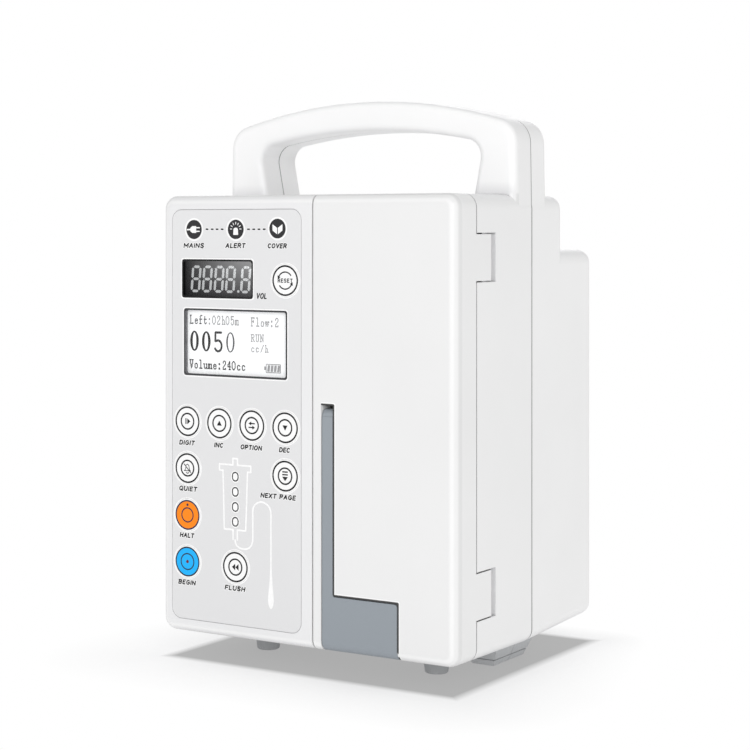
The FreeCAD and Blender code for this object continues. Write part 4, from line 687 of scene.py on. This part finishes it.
# white grounds and line art on the overlay
white = Sheet()
for x, z in STATUS:
    white.disc(x, z, 4.25)
for x in (-41.95, -39.6, -37.4, -35.1, -23.3, -21.0, -18.7, -16.4):
    white.poly(white.rrect(x - 0.75, x + 0.75, 159.15 - 0.48, 159.15 + 0.48, 0.25))
white.strip(white.rrect(LED_W[0] - 0.45, LED_W[1] + 0.45, LED_W[2] - 0.45, LED_W[3] + 0.45, 1.0),
            white.rrect(LED_W[0] - 0.03, LED_W[1] + 0.03, LED_W[2] - 0.03, LED_W[3] + 0.03, 1.15), closed=True)
white.frame(LCD_W[0] - 0.5, LCD_W[1] + 0.5, LCD_W[2] - 0.5, LCD_W[3] + 0.5, 1.5, 0.47)
for n, (x, z) in KEYS.items():
    white.ring(x, z, 6.06, 6.45)
for x, z in DROPS:
    white.poly(white.rrect(x - 1.9, x + 1.9, z - 2.2, z + 2.2, 1.85))
# drip chamber, tube and drop
LW = 0.65
white.stroke([(-30.2, 46.2), (-30.2, 49.75), (-34.15, 49.75), (-34.7, 71.1), (-36.3, 71.1), (-36.3, 73.35), (-30.3, 73.35),
              (-30.3, 75.7), (-28.2, 75.7), (-28.2, 73.35), (-22.3, 73.35), (-22.3, 71.1), (-23.75, 71.1), (-24.55, 49.75),
              (-28.3, 49.75), (-28.3, 46.2)], LW)
tube = [(-29.3, 46.1), (-29.15, 45.0), (-28.5, 44.05), (-27.3, 43.35), (-25.9, 43.1), (-24.4, 43.15), (-23.0, 43.7),
        (-22.0, 44.75), (-21.5, 46.2), (-21.42, 48.0), (-21.4, 57.4), (-21.15, 58.6), (-20.4, 59.65), (-19.2, 60.45),
        (-17.8, 60.8), (-16.4, 60.65), (-15.0, 59.95), (-14.0, 58.9), (-13.55, 57.7), (-13.45, 56.4), (-13.45, 36.9)]
white.stroke(tube, LW)
drop_l = [(-13.78, 37.2), (-13.95, 33.6), (-14.25, 30.6), (-14.6, 27.8), (-14.7, 25.6), (-14.5, 24.1), (-14.1, 23.1)]
drop_r = [(-13.12, 37.2), (-12.95, 33.6), (-12.7, 30.6), (-12.35, 27.8), (-12.2, 25.6), (-12.4, 24.1), (-12.8, 23.1)]
white.strip(drop_l + [(-13.5, 22.6)], drop_r + [(-13.4, 22.6)])
for words, x, z, wid in LABELS:
    white.text(words, x, z, 1.86 + 0.5, 0.8, shear=0.2, fit=wid + 0.5)
white.make("panel_print_white", -0.010, "ink_white", "pump_body", "overlay")

# dark print
dark = Sheet()
for x, z in STATUS:
    dark.disc(x, z, 3.55)
for x in (-41.95, -39.6, -37.4, -35.1, -23.3, -21.0, -18.7, -16.4):
    dark.poly(dark.rrect(x - 0.62, x + 0.62, 159.15 - 0.3, 159.15 + 0.3, 0.1))
for x, z in DROPS:
    dark.poly(dark.rrect(x - 1.5, x + 1.5, z - 1.8, z + 1.8, 1.48))
dark.make("panel_print_dark", -0.022, "ink_dark", "pump_body", "overlay")
labels = Sheet()
for words, x, z, wid in LABELS:
    labels.text(words, x, z, 1.9, 0.46, shear=0.2, fit=wid)
labels.text("VOL", -17.5, 135.1, 2.15, 0.42, shear=0.2, fit=5.0)
labels.make("panel_print_labels", -0.022, "ink_label", "pump_body", "overlay")

# light symbols on the dark discs, and the clear centres of the drop lamps
sym = Sheet()
x, z = STATUS[0]            # plug with its lead
sym.poly([(x - 0.85, z + 1.25), (x + 0.95, z + 1.25), (x + 0.95, z - 1.25), (x - 0.85, z - 1.25), (x - 1.75, z - 0.55), (x - 1.75, z + 0.55)])
sym.stroke([(x + 0.9, z + 0.66), (x + 2.45, z + 0.66)], 0.42).stroke([(x + 0.9, z - 0.66), (x + 2.45, z - 0.66)], 0.42)
sym.stroke([(x - 1.7, z), (x - 3.1, z - 0.05)], 0.5)
x, z = STATUS[1]            # beacon
arc = [(x + 1.0 * math.cos(math.radians(a)), z - 0.1 + 0.75 * math.sin(math.radians(a))) for a in range(0, 181, 15)]
sym.poly(arc + [(x - 1.1, z - 2.0), (x + 1.1, z - 2.0)])
for a in (0, 30, 60, 90, 120, 150, 180):
    c, s = math.cos(math.radians(a)), math.sin(math.radians(a))
    sym.stroke([(x + 1.75 * c, z + 0.15 + 1.75 * s), (x + 2.45 * c, z + 0.15 + 2.45 * s)], 0.3)
x, z = STATUS[2]            # open leaf
sym.poly([(x - 2.15, z + 1.55), (x - 0.18, z + 0.25), (x - 0.18, z - 2.05), (x - 2.15, z - 0.7)])
sym.poly([(x + 2.15, z + 1.55), (x + 0.18, z + 0.25), (x + 0.18, z - 2.05), (x + 2.15, z - 0.7)])
for x, z in DROPS:
    sym.poly(sym.rrect(x - 1.0, x + 1.0, z - 1.3, z + 1.3, 0.98))
sym.make("panel_print_symbols", -0.034, "ink_white", "pump_body", "overlay")


# ------------------------------------------------------------------ keys
def tri(s, x, z, r, ang, squash=1.0):
    pts = []
    for k in range(3):
        t = math.radians(ang + 120 * k)
        pts.append((x + r * math.cos(t) * squash, z + r * math.sin(t)))
    return s.poly(pts)


KEY_FACE = -0.2
for n, (x, z) in sorted(KEYS.items()):
    s = Sheet()
    tone = "ink_ring"
    if n in ("key_stop", "key_start"):
        tone = "ink_navy" if n == "key_stop" else "ink_brown"
        s.ring(x, z, 4.98, 5.53)
        s.ring(x, z, 2.36 if n == "key_stop" else 2.7, 2.82 if n == "key_stop" else 3.16)
        if n == "key_stop":
            s.disc(x, z + 3.75, 0.5, 20)
    else:
        s.ring(x, z, 4.9, 5.54)
        if n != "key_clear":
            s.ring(x, z, 2.58, 3.17)
    if n == "key_shift":
        s.poly([(x - 0.95, z + 1.1), (x - 0.45, z + 1.1), (x - 0.45, z - 1.1), (x - 0.95, z - 1.1)])
        s.poly([(x - 0.1, z + 1.1), (x - 0.1, z - 1.1), (x + 1.35, z)])
    elif n == "key_up":
        tri(s, x, z - 0.2, 1.25, 90)
    elif n == "key_down":
        tri(s, x, z + 0.2, 1.25, 270)
    elif n == "key_select":
        s.poly([(x - 1.45, z + 0.72), (x - 0.25, z + 1.45), (x - 0.25, z + 0.95), (x + 1.4, z + 0.95), (x + 1.4, z + 0.5), (x - 0.25, z + 0.5), (x - 0.25, z)])
        s.poly([(x + 1.45, z - 0.72), (x + 0.25, z), (x + 0.25, z - 0.5), (x - 1.4, z - 0.5), (x - 1.4, z - 0.95), (x + 0.25, z - 0.95), (x + 0.25, z - 1.45)])
    elif n == "key_silence":
        b = 0.84
        bell = [(x, z + 1.75), (x + 0.75, z + 1.25), (x + 0.95, z + 0.2), (x + 1.2, z - 0.75), (x + 1.7, z - 1.15),
                (x - 1.7, z - 1.15), (x - 1.2, z - 0.75), (x - 0.95, z + 0.2), (x - 0.75, z + 1.25)]
        s.stroke([(x + (p - x) * b, z + (q - z) * b) for p, q in bell], 0.3, closed=True)
        s.stroke([(x - 0.5, z - 1.65), (x, z - 1.95), (x + 0.5, z - 1.65)], 0.34)
        s.stroke([(x - 1.5, z + 1.45), (x + 1.45, z - 1.6)], 0.34)
    elif n == "key_page_down":
        s.poly([(x - 1.2, z + 1.75), (x + 1.2, z + 1.75), (x + 1.2, z + 1.25), (x - 1.2, z + 1.25)])
        s.poly([(x - 1.2, z + 0.75), (x + 1.2, z + 0.75), (x + 1.2, z + 0.25), (x - 1.2, z + 0.25)])
        s.poly([(x - 1.25, z - 0.25), (x + 1.25, z - 0.25), (x, z - 1.8)])
    elif n == "key_bolus":
        for d in (-1.5, 0.0):
            s.poly([(x + d, z), (x + d + 1.45, z + 1.25), (x + d + 1.45, z - 1.25)])
    elif n == "key_clear":
        s.ring(x, z, 2.82, 3.3, 35, 150)
        s.ring(x, z, 2.82, 3.3, 215, 330)
        for a, w in ((150, 1), (330, 1)):
            t = math.radians(a)
            px, pz = x + 3.05 * math.cos(t), z + 3.05 * math.sin(t)
            tx, tz = -math.sin(t), math.cos(t)
            s.poly([(px + tx * 1.15, pz + tz * 1.15), (px + math.cos(t) * 0.75, pz + math.sin(t) * 0.75),
                    (px - math.cos(t) * 0.75, pz - math.sin(t) * 0.75)])
        s.text("RESET", x, z - 0.02, 1.55, 0.32, fit=6.5, gap=0.42)
    s.make(n + "_print", KEY_FACE - 0.012, tone, n + "_body", "key_white")
    if n == "key_start":
        Sheet().disc(x, z, 0.62, 20).make("key_start_dot", KEY_FACE - 0.012, "ink_red", n + "_body", "key_blue")

# ------------------------------------------------------------------ numeral display
SEG = {"a": ((0.6, 9.5), (3.4, 9.5)), "b": ((3.68, 9.25), (3.68, 5.0)), "c": ((3.68, 4.5), (3.68, 0.25)),
       "d": ((0.6, 0.0), (3.4, 0.0)), "e": ((0.32, 4.5), (0.32, 0.25)), "f": ((0.32, 9.25), (0.32, 5.0)), "g": ((0.65, 4.75), (3.35, 4.75))}
seg = Sheet()
ZB = 136.35
for cx in (-48.15, -43.0, -37.65, -32.5, -25.7):
    for (xa, za), (xb, zb) in SEG.values():
        d = math.hypot(xb - xa, zb - za)
        ux, uz = (xb - xa) / d, (zb - za) / d
        w = 0.52
        pts = [(xa, za), (xa + ux * w - uz * w, za + uz * w + ux * w), (xb - ux * w - uz * w, zb - uz * w + ux * w), (xb, zb),
               (xb - ux * w + uz * w, zb - uz * w - ux * w), (xa + ux * w + uz * w, za + uz * w - ux * w)]
        seg.poly([(cx - 2.0 + a + b * 0.075 - 0.35, ZB + b * 0.94) for a, b in pts])
seg.disc(-29.0, ZB + 0.15, 0.52, 16)
seg.make("led_numerals", 1.56, "segment", "pump_body", "dark_lens")


def tunnel(name, w, y0, y1, ring, r, material, wall=None):
    """Dark rim behind a window: painted shade on its edge and on the wall of the recess down to the display."""
    import bmesh
    o, i = Sheet(), Sheet()
    outer = o.rrect(w[0] + 0.06, w[1] - 0.06, w[2] + 0.06, w[3] - 0.06, r)
    inner = i.rrect(w[0] + ring, w[1] - ring, w[2] + ring, w[3] - ring, max(0.1, r - ring * 0.5))
    bm = bmesh.new()
    rows = [[bm.verts.new(M(a, y, b)) for a, b in pts] for y, pts in ((y0, outer), (y0, inner), (y1, inner), (y1, outer))]
    n = len(outer)
    for k in range(4):
        a, b = rows[k], rows[(k + 1) % 4]
        for j in range(n):
            bm.faces.new((a[j], a[(j + 1) % n], b[(j + 1) % n], b[j])).material_index = 1 if k == 1 and wall else 0
    bmesh.ops.recalc_face_normals(bm, faces=bm.faces)
    me = bpy.data.meshes.new(name)
    bm.to_mesh(me)
    bm.free()
    ob = bpy.data.objects.new(name, me)
    SCENE.collection.objects.link(ob)
    me.materials.append(MATS[material])
    if wall:
        me.materials.append(MATS[wall])
    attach(ob, "pump_body")
    return ob


# painted shade around the display windows and down their recess walls
tunnel("lcd_rim", LCD_W, 0.012, 1.46, 0.65, 1.2, "painted_shade_black", wall="painted_shade_grey")
tunnel("led_rim", LED_W, 0.012, 1.50, 0.65, 1.2, "painted_shade_deep")

# ------------------------------------------------------------------ graphic display
scr = Sheet()
scr.poly([(LCD_W[0] + 0.65, LCD_W[2] + 0.65), (LCD_W[1] - 0.65, LCD_W[2] + 0.65), (LCD_W[1] - 0.65, LCD_W[3] - 0.65), (LCD_W[0] + 0.65, LCD_W[3] - 0.65)])
scr.make("lcd_screen", 1.47, "lcd_face", "pump_body", "lcd_lens")
YT = 1.44
def oval(s, x, z, rx, rz, side, end):
    """Upright numeral ring, heavier at the sides than at the ends."""
    ang = [2 * math.pi * i / 40 for i in range(40)]
    s.strip([(x + (rx - side) * math.cos(t), z + (rz - end) * math.sin(t)) for t in ang],
            [(x + rx * math.cos(t), z + rz * math.sin(t)) for t in ang], closed=True)


BIG_Z = 117.85
big = Sheet()
oval(big, -48.8, BIG_Z + 0.05, 1.98, 3.74, 1.16, 0.62)
oval(big, -43.4, BIG_Z, 1.98, 3.74, 1.16, 0.62)
big.make("lcd_value", YT, "lcd_black", "pump_body", "lcd_lens")
tail = Sheet()
five = [(-39.25, BIG_Z + 0.2)] + bow(-38.0, BIG_Z - 1.5, 1.6, 2.0, 105, -150, 18)
tail.stroke([(-36.6, BIG_Z + 3.4), (-39.2, BIG_Z + 3.4), (-39.25, BIG_Z + 0.2)], 0.86).stroke(five, 0.86)
tail.make("lcd_value_third", YT, "lcd_dark", "pump_body", "lcd_lens")
last = Sheet()
oval(last, -32.45, BIG_Z - 0.05, 1.88, 3.7, 0.74, 0.42)
last.make("lcd_value_last", YT, "lcd_mid", "pump_body", "lcd_lens")
mid = Sheet()
mid.cells("Volume:240cc", -51.1, 107.7, 0.268, 0.33, 0.3)
mid.make("lcd_total", YT, "lcd_dark", "pump_body", "lcd_lens")
head = Sheet()
head.cells("Left", -50.9, 124.15, 0.256, 0.33, 0.25)
head.make("lcd_line_start", YT, "lcd_mid", "pump_body", "lcd_lens")
pale = Sheet()
pale.cells(":02h05m", -50.9 + 4 * 8 * 0.256, 124.1, 0.256, 0.33)
pale.cells("Flow:2", -23.3, 123.9, 0.262, 0.33)
pale.cells("RUN", -23.3, 118.3, 0.25, 0.28)
pale.cells("cc/h", -23.3, 114.6, 0.25, 0.28)
pale.frame(-16.7, -10.1, 107.3, 110.6, 0.3, 0.34)
pale.poly([(-17.4, 108.3), (-16.6, 108.3), (-16.6, 109.6), (-17.4, 109.6)])
for k in range(4):
    xa = -16.1 + 1.45 * k
    pale.poly([(xa, 107.8), (xa + 1.05, 107.8), (xa + 1.35, 110.1), (xa + 0.3, 110.1)])
pale.make("lcd_small_print", YT, "lcd_grey", "pump_body", "lcd_lens")

# ------------------------------------------------------------------ stage, light, camera
def floor_mat():
    """Studio sweep: self-lit in the open, with a soft falloff round the body, and a painted shadow of even grey beneath
    it.
    """
    m = Mat("studio_floor")
    geo = m.n("ShaderNodeNewGeometry")
    sp = m.n("ShaderNodeSeparateXYZ")
    m.link(geo.outputs["Position"], sp.inputs[0])
    x, y = sp.outputs[0], sp.outputs[1]
    hx, hy = CAD_HI.x, CAD_HI.y
    rear = m.remap(x, 0.02, 0.035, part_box("rear_housing")[1].y, 0.027)
    ox = m.math("SUBTRACT", m.math("ABSOLUTE", x, 0.0), hx)
    oy = m.math("MAXIMUM", m.math("SUBTRACT", -hy, y), m.math("SUBTRACT", y, rear))
    px, py = m.math("MAXIMUM", ox, 0.0), m.math("MAXIMUM", oy, 0.0)
    dist = m.math("SQRT", m.math("ADD", m.math("MULTIPLY", px, px), m.math("MULTIPLY", py, py)), 0.0)
    painted_shadow_mask = m.remap(m.math("MAXIMUM", ox, oy), 0.001, -0.004, 0.0, 1.0)
    reach = m.remap(y, -0.06, 0.03, 0.045, 0.018)
    outside = m.math("MULTIPLY_ADD", m.math("MINIMUM", m.math("DIVIDE", dist, reach), 1.0), 0.45, 0.55)
    # painted shadow under the body: grey floor tone, grey glow, and a fixed glow weight over the footprint
    far = m.math("ADD", outside, m.math("MULTIPLY", painted_shadow_mask, m.math("SUBTRACT", 0.85, outside)))
    tone = m.mix(painted_shadow_mask, m.mix(m.noise(3.0, 2.0), rgb(253, 253, 254), rgb(251, 251, 252)), rgb(214))
    m.set(color=tone, rough=0.6, spec=0.15)
    em = m.n("ShaderNodeEmission")
    m.link(m.mix(painted_shadow_mask, (1.0, 1.0, 1.0, 1.0), rgb(178)), em.inputs["Color"])
    em.inputs["Strength"].default_value = 1.0
    mx = m.n("ShaderNodeMixShader")
    m.link(far, mx.inputs[0])
    m.link(m.p.outputs["BSDF"], mx.inputs[1])
    m.link(em.outputs["Emission"], mx.inputs[2])
    m.link(mx.outputs[0], m.out.inputs["Surface"])
    return m.m


floor_mat()
fm = bpy.data.meshes.new("studio_floor")
R = 12.0
ringpts = [(R * math.cos(2 * math.pi * i / 64), R * math.sin(2 * math.pi * i / 64), 0.0) for i in range(64)]
fm.from_pydata(ringpts, [], [list(range(64))])
fm.materials.append(MATS["studio_floor"])
floor = bpy.data.objects.new("studio_floor", fm)
SCENE.collection.objects.link(floor)
floor.location.z = CAD_LO.z - 0.0001

world = bpy.data.worlds.new("studio")
SCENE.world = world
world.use_nodes = True
wn = world.node_tree
wn.nodes.clear()
wo = wn.nodes.new("ShaderNodeOutputWorld")
seen, amb = wn.nodes.new("ShaderNodeBackground"), wn.nodes.new("ShaderNodeBackground")
seen.inputs["Color"].default_value = (1, 1, 1, 1)
seen.inputs["Strength"].default_value = 1.0
amb.inputs["Color"].default_value = (1, 1, 1, 1)
amb.inputs["Strength"].default_value = 0.55
lp, mixw = wn.nodes.new("ShaderNodeLightPath"), wn.nodes.new("ShaderNodeMixShader")
wn.links.new(lp.outputs["Is Camera Ray"], mixw.inputs[0])
wn.links.new(amb.outputs[0], mixw.inputs[1])
wn.links.new(seen.outputs[0], mixw.inputs[2])
wn.links.new(mixw.outputs[0], wo.inputs["Surface"])


def area(name, at, size, power, target=(0.0, 0.0, 0.1)):
    d = bpy.data.lights.new(name, "AREA")
    d.shape = "RECTANGLE"
    d.size, d.size_y = size
    d.energy = power
    o = bpy.data.objects.new(name, d)
    o.location = at
    o.rotation_euler = (Vector(target) - Vector(at)).to_track_quat("-Z", "Y").to_euler()
    o.visible_camera = False
    SCENE.collection.objects.link(o)
    return o


area("soft_key", (1.05, -1.15, 0.62), (0.7, 0.8), 7.5)
area("soft_front", (-0.6, -1.5, 0.7), (1.0, 1.0), 2.5)
area("soft_top", (0.0, -0.1, 1.6), (1.6, 1.6), 2.5)
area("soft_back", (-0.8, 1.4, 0.7), (1.2, 1.0), 6.0)

cam = bpy.data.objects.new("camera", bpy.data.cameras.new("camera"))
SCENE.collection.objects.link(cam)
SCENE.camera = cam
cam.data.sensor_width = 36.0
cam.data.sensor_fit = "HORIZONTAL"
cam.data.lens = 92.93
cam.data.clip_start, cam.data.clip_end = 0.01, 60.0
CX, CY, CZ = 0.38185, -0.57316 + Y_OFF / 1000.0, 0.1595
cam.location = (CX, CY, CZ)
cam.rotation_euler = (math.radians(90.0), 0.0, math.radians(32.88))
# the lens is shifted only from this standpoint; from any other it looks straight ahead
for prop, value in (("shift_x", 0.0615), ("shift_y", -0.1956)):
    dr = cam.data.driver_add(prop).driver
    dr.type = "SCRIPTED"
    for vn, tt in (("px", "LOC_X"), ("py", "LOC_Y")):
        v = dr.variables.new()
        v.name = vn
        v.type = "TRANSFORMS"
        v.targets[0].id = cam
        v.targets[0].transform_type = tt
        v.targets[0].transform_space = "WORLD_SPACE"
    dr.expression = f"{value} if abs(px - {CX:.5f}) + abs(py - {CY:.5f}) < 0.001 else 0.0"

SCENE.view_settings.view_transform = "Standard"
SCENE.view_settings.look = "None"
